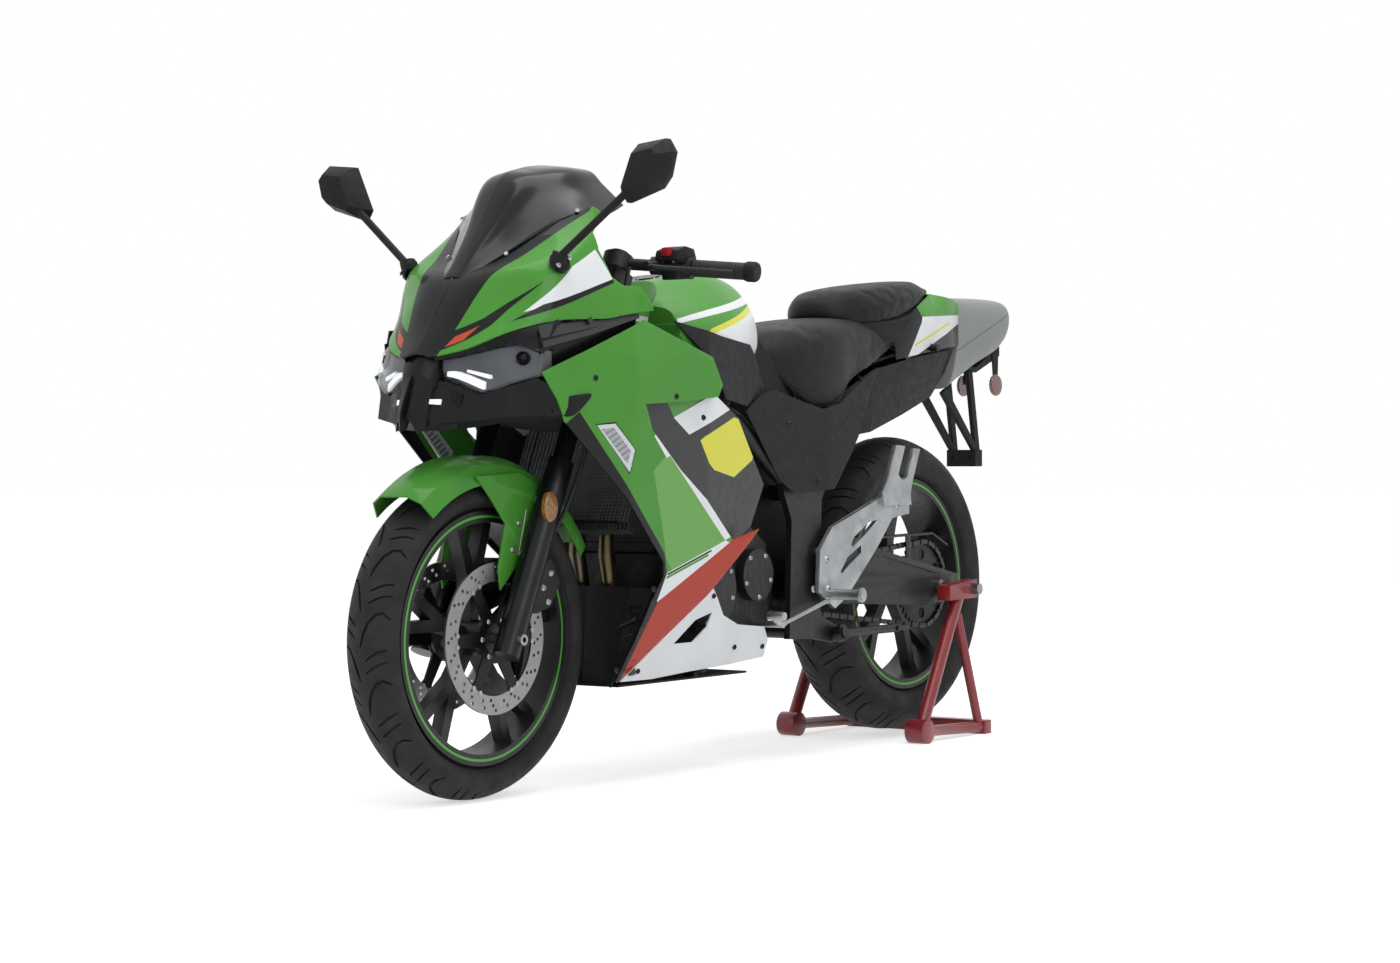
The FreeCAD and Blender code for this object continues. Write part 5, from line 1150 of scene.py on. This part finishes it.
def tyre_section(radius, width, rim_width):
    """Half of a tyre's section as (across, from the axle), from the bead to the crown."""
    bead = rim_width / 2 - RIM_LIP
    return [
        (bead, RIM_SEAT + 1),
        (bead, RIM_FLANGE + 2),
        (0.44 * width, RIM_FLANGE + 12),
        (0.5 * width, 0.5 * (radius + RIM_SEAT)),
        (0.478 * width, radius - 0.25 * width),
        (0.40 * width, radius - 0.155 * width),
        (0.28 * width, radius - 0.075 * width),
        (0.12 * width, radius - 0.012 * width),
        (0, radius),
    ]


def turned(name, profile, x, z, sides, *finishes):
    """A closed ring profile (across, from the axle) turned about a wheel's axle."""
    shape = bmesh.new()
    rings = []
    for k in range(sides):
        turn = 2 * math.pi * k / sides
        rings.append([shape.verts.new(spot(x + r * math.cos(turn), y, z + r * math.sin(turn)))
                      for y, r in profile])
    for first, second in zip(rings, rings[1:] + rings[:1]):
        for k in range(len(profile)):
            m = (k + 1) % len(profile)
            shape.faces.new((first[k], first[m], second[m], second[k]))
    bmesh.ops.recalc_face_normals(shape, faces=shape.faces)
    return make_piece(name, shape, *finishes)


def groove(shape, crown, path, width):
    """A cutter along a path of (degrees round, across) on a tyre's crown, about its axle."""
    def surface(turn, across):
        for (y1, r1), (y2, r2) in zip(crown, crown[1:]):
            if y2 <= abs(across) <= y1:
                radius = r1 + (r2 - r1) * (abs(across) - y1) / (y2 - y1)
        turn = math.radians(turn)
        return Vector((radius * math.cos(turn), across, radius * math.sin(turn)))

    places = [surface(*step) for step in path]
    rows = []
    for k, place in enumerate(places):
        forward = (places[min(k + 1, len(places) - 1)] - places[max(k - 1, 0)]).normalized()
        out = Vector((place.x, place.y * 2.2, place.z)).normalized()
        beside = forward.cross(out) * width / 2
        if k in (0, len(places) - 1):
            beside = beside * GROOVE_TIP
        foot = beside * GROOVE_FOOT
        deep = place - out * GROOVE_DEPTH
        high = place + out * GROOVE_DEPTH
        rows.append([shape.verts.new(corner * MM) for corner in (
            deep - foot, deep + foot, high + beside, high - beside)])
    shape.faces.new(rows[0])
    shape.faces.new(rows[-1])
    for first, second in zip(rows, rows[1:]):
        for k in range(4):
            m = (k + 1) % 4
            shape.faces.new((first[k], first[m], second[m], second[k]))


def round_axle(tree, count, axle, part):
    """Copies of a part, made about the axle, at an even pitch round its wheel."""
    places = tree.add("GeometryNodeMeshLine", {}, {
        "Count": count, "Start Location": axle, "Offset": (0, 0, 0)})
    number = tree.add("GeometryNodeInputIndex", {}, {})
    turn = tree.add("ShaderNodeCombineXYZ", {}, {1: number * (2 * math.pi) / count})
    return tree.add("GeometryNodeInstanceOnPoints", {}, {"Points": places, "Instance": part,
                                                         "Rotation": turn})


def cut_round(thing, cutter, x, z, count, finish):
    """Takes a cutter, made about the axle, out of a piece at an even pitch round its wheel."""
    sizes = {"Pitch Count": count, "Axle": spot(x, 0, z), "Cutter": cutter}
    tree, body, size = recipe(thing.name + "_tree", sizes)
    shapes = tree.add("GeometryNodeObjectInfo", {}, {"Object": size["Cutter"]}, 4)
    row = round_axle(tree, size["Pitch Count"], size["Axle"], shapes)
    solid = tree.add("GeometryNodeRealizeInstances", {}, {"Geometry": row})
    rest = tree.add("GeometryNodeMeshBoolean", {"solver": "EXACT"}, {"Mesh 1": body,
                                                                    "Mesh 2": solid})
    worked(thing, tree, rest, finish, sizes)
    bpy.data.objects.remove(cutter)
    return thing


for name, node, body, x, z, radius, width, rim_width, pitches in TYRES:
    half = tyre_section(radius, width, rim_width)
    skin = smooth(half, 24)
    profile = skin + [(-y, r) for y, r in skin[-2::-1]]
    tyre = turned(name, profile, x, z, TYRE_SIDES, rubber)
    crown = [dot for dot in skin if dot[1] > radius - 0.3 * width]
    pitch = 360 / pitches
    cutters = bmesh.new()
    for side, shift in ((1, 0), (-1, 0.5)):
        start = pitch * shift
        hook = [(start + pitch * a, side * width * b) for a, b in HOOK]
        groove(cutters, crown, hook, HOOK_WIDTH)
        for a in SLASH_STARTS:
            slash = [(start + pitch * (a + b), side * width * c) for b, c in SLASH]
            groove(cutters, crown, slash, SLASH_WIDTH)
    bmesh.ops.recalc_face_normals(cutters, faces=cutters.faces)
    cut_round(tyre, make_piece(name + "_cutters", cutters), x, z, pitches, rubber)
    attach(tyre, body)
    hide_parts(node)

# Rims: cast aluminium wheels with five forked spokes, powder-coated satin black, with a thin
# green tape round each flange.

TAPE_RADIUS = 0.2195
TAPE_HALF = 0.0022

rim_black = Finish("rim_powder_coat", "#191A1B", 0.42, Metallic=0.2)
rim_black.vary(0.25, 22)
rim_ring = from_axle(rim_black)
tape = (abs(rim_ring - TAPE_RADIUS) * -1 + TAPE_HALF).ramp(-0.0003, 0.0003)
outside = abs(rim_black.y).ramp(0.0385, 0.0392)
rim_black.paint(tape * outside, tone("#4FA43A"))
rim_black.relief(rim_black.noise(900, 2.0), 0.00012)
rim_black.done(0.12, 80)
dress(rim_black, "front_rim", "rear_rim")

# Brake discs: ground stainless bands drilled in groups of three and two, riveted through
# bobbins to black carriers that bolt to the hubs.

DISCS = [
    ("front_left", "front_discs", "front_wheel", 0, 59.5, FRONT_Z, 137, 34),
    ("front_right", "front_discs", "front_wheel", 0, -59.5, FRONT_Z, 137, 34),
    ("rear", "rear_disc", "rear_wheel", REAR_X, -64.25, REAR_Z, 110, 30),
]
DISC_HALF = 2.25
HOLES = [(0, 8), (3.5, 17), (7, 26), (15, 11), (18.5, 22)]
HOLE_BAND = 34
HOLE_RADIUS = 3.4
HOLE_GROUPS = 12
BOLT_CIRCLE = 36
ARMS = 6
ARM = [(-12, 11), (4, 17), (4, -17), (-12, -11)]
HUB_EDGE = BOLT_CIRCLE - 7
BOSS_EDGE = BOLT_CIRCLE + 9
CARRIER_HALF = DISC_HALF - 0.4
BOBBIN_RADIUS = 4.6
BOBBIN_ASIDE = 10
BOBBIN_HALF = DISC_HALF + 1

disc_steel = Finish("ground_disc_steel", "#8E8F8E", 0.34, Metallic=1.0)
disc_steel.vary(0.1, 30)
disc_ring = from_axle(disc_steel)
disc_steel.relief((disc_ring * 2200).maths("SINE") * 0.4 + disc_steel.noise(90, 2.0), 0.00005)
disc_steel.done(0.1, 40)
carrier_black = grained("anodised_carrier", "#1B1B1D", 0.4, (0.2, 50), (800, 2.0, 0.0001), (0.12, 90),
                        Metallic=0.7)


def prism(shape, outline, low, high):
    """A prism across the bike over an (x, z) outline about the axle, from low to high."""
    near = [shape.verts.new((x * MM, low * MM, z * MM)) for x, z in outline]
    far = [shape.verts.new((x * MM, high * MM, z * MM)) for x, z in outline]
    close_prism(shape, near, far)


def circle(x, z, radius, sides):
    """The corners of a round outline."""
    return [(x + radius * math.cos(2 * math.pi * k / sides),
             z + radius * math.sin(2 * math.pi * k / sides)) for k in range(sides)]


def set_round(name, part, x, z, count, finish):
    """A part, made about the axle, repeated at an even pitch round its wheel."""
    sizes = {"Part Count": count, "Axle": spot(x, 0, z)}
    tree, body, size = recipe(name + "_tree", sizes)
    row = round_axle(tree, size["Part Count"], size["Axle"], body)
    return worked(make_piece(name, part), tree, row, finish, sizes)


for name, node, body, x, y, z, radius, band in DISCS:
    inner = radius - band
    ring = [(y - DISC_HALF, inner), (y + DISC_HALF, inner), (y + DISC_HALF, radius),
            (y - DISC_HALF, radius)]
    disc = turned(name + "_disc_band", ring, x, z, 120, disc_steel)
    holes = bmesh.new()
    for turn, down in HOLES:
        reach = radius - down * band / HOLE_BAND
        at = math.radians(turn)
        hole = circle(reach * math.cos(at), reach * math.sin(at), HOLE_RADIUS, 10)
        prism(holes, hole, y - 2 * DISC_HALF, y + 2 * DISC_HALF)
    bmesh.ops.recalc_face_normals(holes, faces=holes.faces)
    cut_round(disc, make_piece(name + "_holes", holes), x, z, HOLE_GROUPS, disc_steel)
    sector = bmesh.new()
    step = math.pi / ARMS
    foot = [(HUB_EDGE * math.cos(a), HUB_EDGE * math.sin(a)) for a in (-step, 0, step)]
    boss = [(BOSS_EDGE * math.cos(a), BOSS_EDGE * math.sin(a)) for a in (step, 0.6 * step)]
    arm = [(inner + p, q) for p, q in ARM]
    outline = foot + boss + arm + [(p, -q) for p, q in boss[::-1]]
    prism(sector, outline, y - CARRIER_HALF, y + CARRIER_HALF)
    bmesh.ops.recalc_face_normals(sector, faces=sector.faces)
    carrier = set_round(name + "_disc_carrier", sector, x, z, ARMS, carrier_black)
    bobbins = bmesh.new()
    for q in (-BOBBIN_ASIDE, BOBBIN_ASIDE):
        prism(bobbins, circle(inner + 1, q, BOBBIN_RADIUS, 12), y - BOBBIN_HALF, y + BOBBIN_HALF)
    bmesh.ops.recalc_face_normals(bobbins, faces=bobbins.faces)
    rivets = set_round(name + "_disc_bobbins", bobbins, x, z, ARMS, bright_screw)
    for piece, slot in ((disc, "disc_steel"), (carrier, "black_alloy"), (rivets, "bright_steel")):
        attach(piece, body)
    if name != "front_right":
        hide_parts(node)
    outward = math.copysign(1, y)
    screws(name + "_disc_bolts", body, bright_screw, 5, [
        ((x + BOLT_CIRCLE * math.cos(a), y + outward * DISC_HALF, z + BOLT_CIRCLE * math.sin(a)),
         (0, outward, 0)) for a in (k * math.pi / 3 for k in range(ARMS))])

# Chain: riveted roller chain, outer plates over inner ones on pins, run round the gearbox
# sprocket and the wheel's big sprocket.

CHAIN_PITCH = 15.875
CHAIN_LINE = 89
TEETH = 36
BIG_SPROCKET = CHAIN_PITCH / (2 * math.sin(math.pi / TEETH))
SMALL_SPROCKET = 34
GEARBOX = (-800, 345)
PLATE_END = 6
PLATE_WAIST = 4.2
PLATE_HALF = 0.8
OUTER_PLATES = (-7.2, 7.2)
INNER_PLATES = (-5.2, 5.2)
PIN = (2.4, 8.4)
ROLLER = (4.6, 4.4)

link_steel = grained("oiled_link_steel", "#4E4E4B", 0.42, (0.35, 150), (1200, 2.0, 0.0001), (0.2, 300),
                     Metallic=1.0)


def link(name, plates, pin):
    """A chain link about the origin, along x: two waisted plates and two pins or rollers."""
    shape = bmesh.new()
    half = CHAIN_PITCH / 2
    radius, reach = pin
    outline = []
    for end in (1, -1):
        for a in (-60, 0, 60):
            turn = math.radians(a)
            outline.append((end * (half + PLATE_END * math.cos(turn)),
                            end * PLATE_END * math.sin(turn)))
        outline.append((0, end * PLATE_WAIST))
    for y in plates:
        prism(shape, outline, y - PLATE_HALF, y + PLATE_HALF)
    for end in (1, -1):
        prism(shape, circle(end * half, 0, radius, 8), -reach, reach)
    bmesh.ops.recalc_face_normals(shape, faces=shape.faces)
    return make_piece(name, shape)


def chain_path():
    """The chain's pitch line in the bike's middle plane as (x, z) places, all the way round."""
    away = math.hypot(GEARBOX[0] - REAR_X, GEARBOX[1] - REAR_Z)
    lean = math.atan2(GEARBOX[1] - REAR_Z, GEARBOX[0] - REAR_X)
    wrap = math.acos((BIG_SPROCKET - SMALL_SPROCKET) / away)
    line = []
    for (x, z), radius, first, last, count in (
            (GEARBOX, SMALL_SPROCKET, lean + wrap, lean - wrap, 20),
            ((REAR_X, REAR_Z), BIG_SPROCKET, lean + 2 * math.pi - wrap, lean + wrap, 48)):
        for k in range(count + 1):
            turn = first + (last - first) * k / count
            line.append((x + radius * math.cos(turn), z + radius * math.sin(turn)))
    return line


path = bmesh.new()
dots = [path.verts.new(spot(x, CHAIN_LINE, z)) for x, z in chain_path()]
for first, second in zip(dots, dots[1:] + dots[:1]):
    path.edges.new((first, second))
run = sum(edge.calc_length() for edge in path.edges)
links = 2 * round(run / (2 * CHAIN_PITCH * MM))
sizes = {"Link Count": links, "Outer Link": link("outer_link", OUTER_PLATES, PIN),
         "Inner Link": link("inner_link", INNER_PLATES, ROLLER)}
chain_piece = make_piece("roller_chain", path)
tree, loop, size = recipe("chain_tree", sizes)
curve = tree.add("GeometryNodeMeshToCurve", {}, {"Mesh": loop})
even = tree.add("GeometryNodeResampleCurve", {}, {"Curve": curve, "Count": size["Link Count"]})
heading = tree.add("GeometryNodeInputTangent", {}, {})
lying = tree.add("FunctionNodeAlignRotationToVector", {"axis": "X", "pivot_axis": "Y"},
                 {"Vector": heading})
odd = tree.add("GeometryNodeInputIndex", {}, {}).maths("MODULO", 2)
rows = []
for label, chosen in (("Outer Link", odd), ("Inner Link", 1 - odd)):
    shape = tree.add("GeometryNodeObjectInfo", {}, {"Object": size[label]}, 4)
    rows.append(tree.add("GeometryNodeInstanceOnPoints", {}, {
        "Points": even, "Selection": chosen, "Instance": shape, "Rotation": lying}))
joined = tree.tree.nodes.new("GeometryNodeJoinGeometry")
for row in rows:
    tree.tree.links.new(row.socket, joined.inputs[0])
worked(chain_piece, tree, Wire(tree, joined.outputs[0]), link_steel, sizes)
for label in ("Outer Link", "Inner Link"):
    bpy.data.objects.remove(sizes[label])
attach(chain_piece, "chassis")
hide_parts("chain")

# Front fender: a moulded channel over the tyre with a leg down each fork slider, painted green
# with a white pinstripe. Two screws a side hold it, and each slider carries an amber reflector.

fender_paint = lacquered("fender_paint", GREEN)
for start, end in (((-80, 523), (-56, 440)), ((-56, 440), (-116, 500)), ((-108, 546), (-92, 470))):
    fender_paint.paint(stripe(fender_paint, start, end, 2.5), tone(WHITE))
finish_lacquer(fender_paint)
softened("front_fender", "fork", 0.8, fender_paint)
screws("fender_screws", "fork", bright_screw, 6, both_sides([
    ((-40, 70.5, 452), (0, 1, 0)), ((-58, 70.5, 500), (0, 1, 0))]))
amber = Finish("amber_reflector", "#9A6420", 0.15, Coat_Weight=0.8)
amber.vary(0.2, 60)
prisms = amber.add("ShaderNodeTexVoronoi", {}, {"Vector": amber.place, "Scale": 260.0})
amber.relief(prisms, 0.0012)
amber.done(0.05, 80)
OVAL = [(17 * x, 26 * z) for x, z in circle(0, 0, 1, 24)]
OVAL_RINGS = [(112, 1.08), (120, 1.08), (121, 1.0), (123, 0.9)]
reflectors = ring_body("fork_reflectors", [
    [(-90 + wide * x, y, 528 + wide * z) for x, z in OVAL] for y, wide in OVAL_RINGS], 0, amber)
settle(reflectors, 30)
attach(reflectors, "fork")

# Frame: welded steel tube and plate under semi-gloss black powder coat, as are the cowl's stay,
# the seat rails, the swingarm, the yokes and the side stand. Rub marks show paler on it. Plastic
# splash guards shut the gap behind the engine.

GUARD = [(-692, 640), (-950, 640), (-962, 430), (-950, 296), (-744, 296), (-692, 400)]
GUARD_WALL = [(200, [(-1000, 66), (-600, 66)]), (700, [(-1000, 60), (-600, 60)])]

frame_black = Finish("frame_powder_coat", "#161617", 0.42, Specular_IOR_Level=0.35)
frame_black.vary(0.3, 20)
rubbed = frame_black.noise(45, 5.0).ramp(0.62, 0.72)
frame_black.paint(rubbed * 0.5, tone("#343436"))
frame_black.relief(frame_black.noise(600, 3.0), 0.00015)
frame_black.done(0.15, 70)
dress(frame_black, "main_frame", "subframe", "cowl_stay", "yokes", "side_stand")
softened("swingarm", "chassis", 3, frame_black)
splash_guards = side_panel("splash_guard_pair", GUARD, GUARD_WALL, 2.5, 0, soft_black)
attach(splash_guards, "chassis")

# Shock: a steel coil in dark satin paint over a damper body, bolted between the frame and the
# swingarm's cross tube.

shock_finish = Finish("shock_steel", "#2A2B2C", 0.35, Metallic=0.7)
shock_finish.vary(0.3, 60)
coils = (shock_finish.z * 260 + shock_finish.y * 60).maths("SINE")
shock_finish.relief(coils * 0.8 + shock_finish.noise(400, 2.0) * 0.2, 0.002)
shock_finish.done(0.15, 90)
dress(shock_finish, "shock")

# Engine: a die-cast crankcase with ribs and turned covers in dark grey paint, screwed round
# their edges; bent header pipes, brown from heat; an alloy radiator with its fins.

GENERATOR = (-560, 360)
GENERATOR_RINGS_TO = 0.046
RIBS_FROM = 0.082
ENGINE_COVERS = [
    ("generator_cover_screws", *GENERATOR, 142, 69, 8, 0.3),
    ("gearbox_cover_screws", -735, 380, 128, 44, 5, 0.9),
    ("clutch_cover_screws", -640, 372, -140, 82, 10, 0),
]
PIPE_BEND = AXLE_X - 0.72

engine_paint = Finish("engine_paint", "#222325", 0.5, Metallic=0.35)
engine_paint.vary(0.3, 24)
edge_wear = engine_paint.noise(70, 5.0).ramp(0.66, 0.74)
engine_paint.paint(edge_wear * 0.6, tone("#5A5B5C"))
off_x = engine_paint.x - (AXLE_X + GENERATOR[0] * MM)
off_z = engine_paint.z - GENERATOR[1] * MM
cover_ring = (off_x * off_x + off_z * off_z).maths("SQRT")
on_cover = (cover_ring * -1 + GENERATOR_RINGS_TO).ramp(0, 0.001)
turning = (cover_ring * 2600).maths("SINE") * on_cover
casting_ribs = (engine_paint.x * 420).maths("SINE").ramp(0.86, 0.98)
engine_paint.relief(turning * 0.1 + engine_paint.noise(260, 4.0) * 0.5
                    + casting_ribs * (cover_ring - RIBS_FROM).ramp(0, 0.004), 0.0009)
engine_paint.done(0.2, 60)
dress(engine_paint, "engine")
for name, x, z, y, radius, count, first in ENGINE_COVERS:
    screws(name, "chassis", bright_screw, 5, [
        ((x + radius * math.cos(a), y, z + radius * math.sin(a)), (0, math.copysign(1, y), 0))
        for a in (2 * math.pi * k / count + first for k in range(count))])
plug_white = moulded("connector_nylon", "#C9CBC8", 0.45, 300)
connector = ring_body("wiring_connector", [
    [(-652, y, 470), (-652, y, 440), (-634, y, 440), (-634, y, 470)] for y in (112, 124)], 0,
    plug_white, twin=False)
thicken(connector, 0, 1)
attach(connector, "chassis")

heat_steel = Finish("header_heat_steel", "#6A6048", 0.32, Metallic=0.95)
heat_steel.vary(0.35, 12)
blueing = heat_steel.noise(7, 2.0).ramp(0.5, 0.7)
heat_steel.paint(blueing * 0.5, tone("#4E4A55"))
heat_steel.paint((heat_steel.x * -1 + PIPE_BEND).ramp(0, 0.01), tone("#3C3D3E"))
heat_steel.relief(heat_steel.noise(300, 3.0), 0.0002)
heat_steel.done(0.2, 40)
dress(heat_steel, "exhaust")
radiator_alloy = Finish("radiator_alloy", "#4A4C4E", 0.45, Metallic=0.6)
radiator_alloy.vary(0.2, 30)
fins = (radiator_alloy.z * 2400).maths("SINE") * 0.5 + (radiator_alloy.y * 700).maths("SINE") * 0.5
radiator_alloy.relief(fins, 0.0012)
radiator_alloy.done(0.15, 60)
dress(radiator_alloy, "radiator")

# Fork and calipers: dark anodised legs, clamped by the two yokes, on a plated axle. The radial
# calipers and the sprocket are anodised black, with bright bolts, and a braided hose in a black
# sleeve runs to each front caliper.

fork_black = grained("fork_anodising", "#19191B", 0.32, (0.2, 20), (900, 2.0, 0.00008), (0.1, 80),
                     Metallic=0.55)
dress(fork_black, "fork_legs")
caliper_black = grained("caliper_anodising", "#1E1E20", 0.4, (0.25, 60), (500, 3.0, 0.0002),
                        (0.15, 120), Metallic=0.6)
dress(caliper_black, "front_calipers", "rear_caliper", "sprocket")
plain_steel = grained("plated_steel", "#9C9EA0", 0.33, (0.25, 50), (700, 3.0, 0.0001), (0.2, 150),
                      Metallic=1.0)
dress(plain_steel, "front_axle", "axles_and_spools")
sleeve = Finish("hose_sleeve", "#121213", 0.5)
sleeve.vary(0.2, 100)
braid = (sleeve.z * 3000 + sleeve.x * 1500).maths("SINE")
sleeve.relief(braid, 0.0003)
sleeve.done(0.1, 200)
dress(sleeve, "brake_hoses")
caliper_low, caliper_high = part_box("front_calipers")
caliper_x = (0.5 * (caliper_low.x + caliper_high.x) - AXLE_X) / MM
caliper_z = 0.5 * (caliper_low.z + caliper_high.z) / MM
screws("caliper_bolts", "fork", bright_screw, 6, both_sides([
    ((caliper_x + dx, caliper_high.y / MM, caliper_z + dz), (0, 1, 0))
    for dx, dz in ((-14, 24), (8, -2), (-6, -28))]))

# Foot-rest brackets: pressure-cast aluminium with two slots, tumbled bright, their edges
# rounded by the die. They are bolted to the frame, and carry the pegs and the pedals.

cast_alloy = Finish("tumbled_casting", "#A9ACAE", 0.36, Metallic=0.85)
cast_alloy.vary(0.25, 16)
grime = cast_alloy.noise(30, 5.0).ramp(0.55, 0.75)
cast_alloy.paint(grime * 0.5, tone("#6E7072"))
cast_alloy.relief(cast_alloy.noise(260, 4.0), 0.0004)
cast_alloy.done(0.2, 50)
softened("rearsets", "chassis", 2.2, cast_alloy)
screws("bracket_bolts", "chassis", bright_screw, 8, both_sides([
    ((-920, 168, 405), (0, 1, 0)), ((-925, 168, 345), (0, 1, 0)), ((-1190, 168, 510), (0, 1, 0)),
    ((-905, 146, 345), (0, 1, 0))]))

# Paddock stand: welded steel tube in chipped red paint, on nylon rollers, with lifting hooks
# under the swingarm's spools.

stand_red = Finish("stand_red_paint", "#8E2229", 0.35, Coat_Weight=0.25)
stand_red.vary(0.25, 20)
chips = stand_red.noise(120, 4.0).ramp(0.70, 0.74)
stand_red.paint(chips, tone("#4A4140"))
stand_red.relief(stand_red.noise(300, 3.0) - chips * 0.6, 0.0003)
stand_red.done(0.15, 60)
softened("paddock_stand", "chassis", 1.2, stand_red)

# Bars: clip-on bars clamped to the fork tubes, with ribbed rubber grips, a lever and switch
# housings of moulded plastic, the left one with a red rocker.

bar_black = Finish("bar_and_grip", "#171718", 0.55, Specular_IOR_Level=0.35)
bar_black.vary(0.2, 40)
on_grip = abs(bar_black.y).ramp(0.252, 0.254)
ribs = (bar_black.y * 1250).maths("SINE") * on_grip
bar_black.relief(ribs * 0.5 + bar_black.noise(500, 3.0) * 0.3, 0.0009)
bar_black.done(0.15, 80)
dress(bar_black, "handlebars")
switch_pods = ring_body("switch_pods", [
    [(-376, y, 984), (-368, y, 1003), (-342, y, 1007), (-318, y, 999), (-312, y, 982),
     (-330, y, 976), (-364, y, 976)] for y in (190, 194, 236, 242)], 0, soft_black)
thicken(switch_pods, 0, 2)
switch_blocks = ring_body("switch_blocks", [
    [(-366, y, 977), (-362, y, 947), (-328, y, 945), (-322, y, 977)] for y in (196, 232)], 0,
    soft_black)
thicken(switch_blocks, 0, 2.5)
rocker_red = moulded("rocker_red", "#A3202A", 0.35, 300)
rocker = ring_body("engine_rocker", [
    [(-322, y, 1004), (-316, y, 989), (-311, y, 988), (-314, y, 1004)] for y in (206, 228)], 0,
    rocker_red, twin=False)
thicken(rocker, 0, 1)
bar_ends = turned_pair("bar_ends", [(-24, 0), (-24, 17), (-19, 19), (-4, 19), (0, 17), (1, 12), (1, 0)],
                       (-395, 365, 956), (-0.14, 0.98, -0.09), soft_black, sides=24)
settle(bar_ends, 30)
for piece, slot in ((switch_pods, "black_plastic"), (switch_blocks, "black_plastic"),
                    (rocker, "red_lens"), (bar_ends, "black_plastic")):
    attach(piece, "fork")
screws("switch_screws", "fork", bright_screw, 3, both_sides([
    ((-324, 200, 979), (0.9, 0, -0.2)), ((-323, 226, 978), (0.9, 0, -0.2))]))

# Mirrors: faceted pods of grained plastic on thin stems, glass set in their rear faces. An
# round foot under each is bolted through the cowl.

GLASS = [(312, 1088), (344, 1160), (396, 1166), (406, 1148), (396, 1112), (380, 1095), (320, 1073)]
MIRROR_FOOT = (0.25, 0.85, 0.42)

softened("mirrors", "chassis", 2.5, soft_black)
mirror_silver = grained("mirror_glass", "#C9CDD0", 0.04, (0.03, 20), (12, 1.0, 0.0001), (0.02, 30),
                        Metallic=1.0)
mirror_glass = ring_body("mirror_glasses", [
    [(x, y, z) for y, z in GLASS] for x in (-84.5, -86.5)], 0, mirror_silver)
thicken(mirror_glass, 0, 0.6)
mirror_feet = turned_pair("mirror_feet", [(-3, 0), (-3, 21), (3, 20), (6, 16), (7, 0)],
                          (-48, 178, 966), MIRROR_FOOT, gloss_black, sides=24)
settle(mirror_feet, 30)
for piece, slot in ((mirror_glass, "bright_steel"), (mirror_feet, "black_plastic")):
    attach(piece, "chassis")
screws("mirror_bolts", "chassis", bright_screw, 5, both_sides([
    ((-34, 186, 960), MIRROR_FOOT), ((-60, 190, 974), MIRROR_FOOT)]))

# Dash and fuel lid: a moulded instrument pod with a dark glass face toward the rider, and a
# locking lid of turned aluminium, hinged at its front and ringed with small screws.

LID_TOP = (-545, 967.3)
LID_CIRCLE = 33

dash_glass = moulded("dash_glass", "#0E1216", 0.1, 60, 0.00005)
dash_face = ring_body("dash_face", [
    [(-207, y, 1054), (-223, y, 1014), (-226, y, 1015), (-210, y, 1056)] for y in (-76, 76)], 0,
    dash_glass, twin=False)
thicken(dash_face, 0, 0.8)
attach(dash_face, "chassis")
dress(soft_black, "dash")
lid_alloy = grained("lid_alloy", "#3A3B3D", 0.3, (0.2, 60), (500, 3.0, 0.0001), (0.15, 120),
                    Metallic=0.9)
dress(lid_alloy, "fuel_lid")
lid_slope = LID_WAY[0] / LID_WAY[2]
screws("lid_screws", "fuel_lid", bright_screw, 3, [
    ((LID_TOP[0] + x, y, LID_TOP[1] - lid_slope * x), LID_WAY)
    for x, y in circle(0, 0, LID_CIRCLE, 6)])

# Belly nose: a black moulding across the bottom of the fairings, with slanted cooling louvres
# in two columns a side, their slats given a lighter grey as a painted highlight.

dress(soft_black, "lower_grille")
# Painted highlight: the slats get a lighter grey than the black moulding, standing in for the light on
# their edges.
slat_highlight_grey = moulded("slat_grey_plastic", "#4A4B4E", 0.4)
for name, near, far, low, rows in (
        ("louvres_outer", (-309, 140, 0), (-330, 92, -14), 214, 5),
        ("louvres_inner", (-334, 78, 0), (-340, 22, -8), 216, 4)):
    slat = ring_body(name, [
        [(x - 4, y, low + z + 9), (x + 10, y, low + z), (x + 10, y, low + z - 3),
         (x - 4, y, low + z - 3)] for x, y, z in (near, far)], 0)
    sizes = {"Slat Count": rows, "Slat Step": Vector((-1.5 * MM, 0, 25 * MM))}
    tree, body, size = recipe(name + "_tree", sizes)
    places = tree.add("GeometryNodeMeshLine", {}, {"Count": size["Slat Count"],
                                                   "Offset": size["Slat Step"]})
    row = tree.add("GeometryNodeInstanceOnPoints", {}, {"Points": places, "Instance": body})
    worked(slat, tree, row, slat_highlight_grey, sizes)
    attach(slat, "chassis")
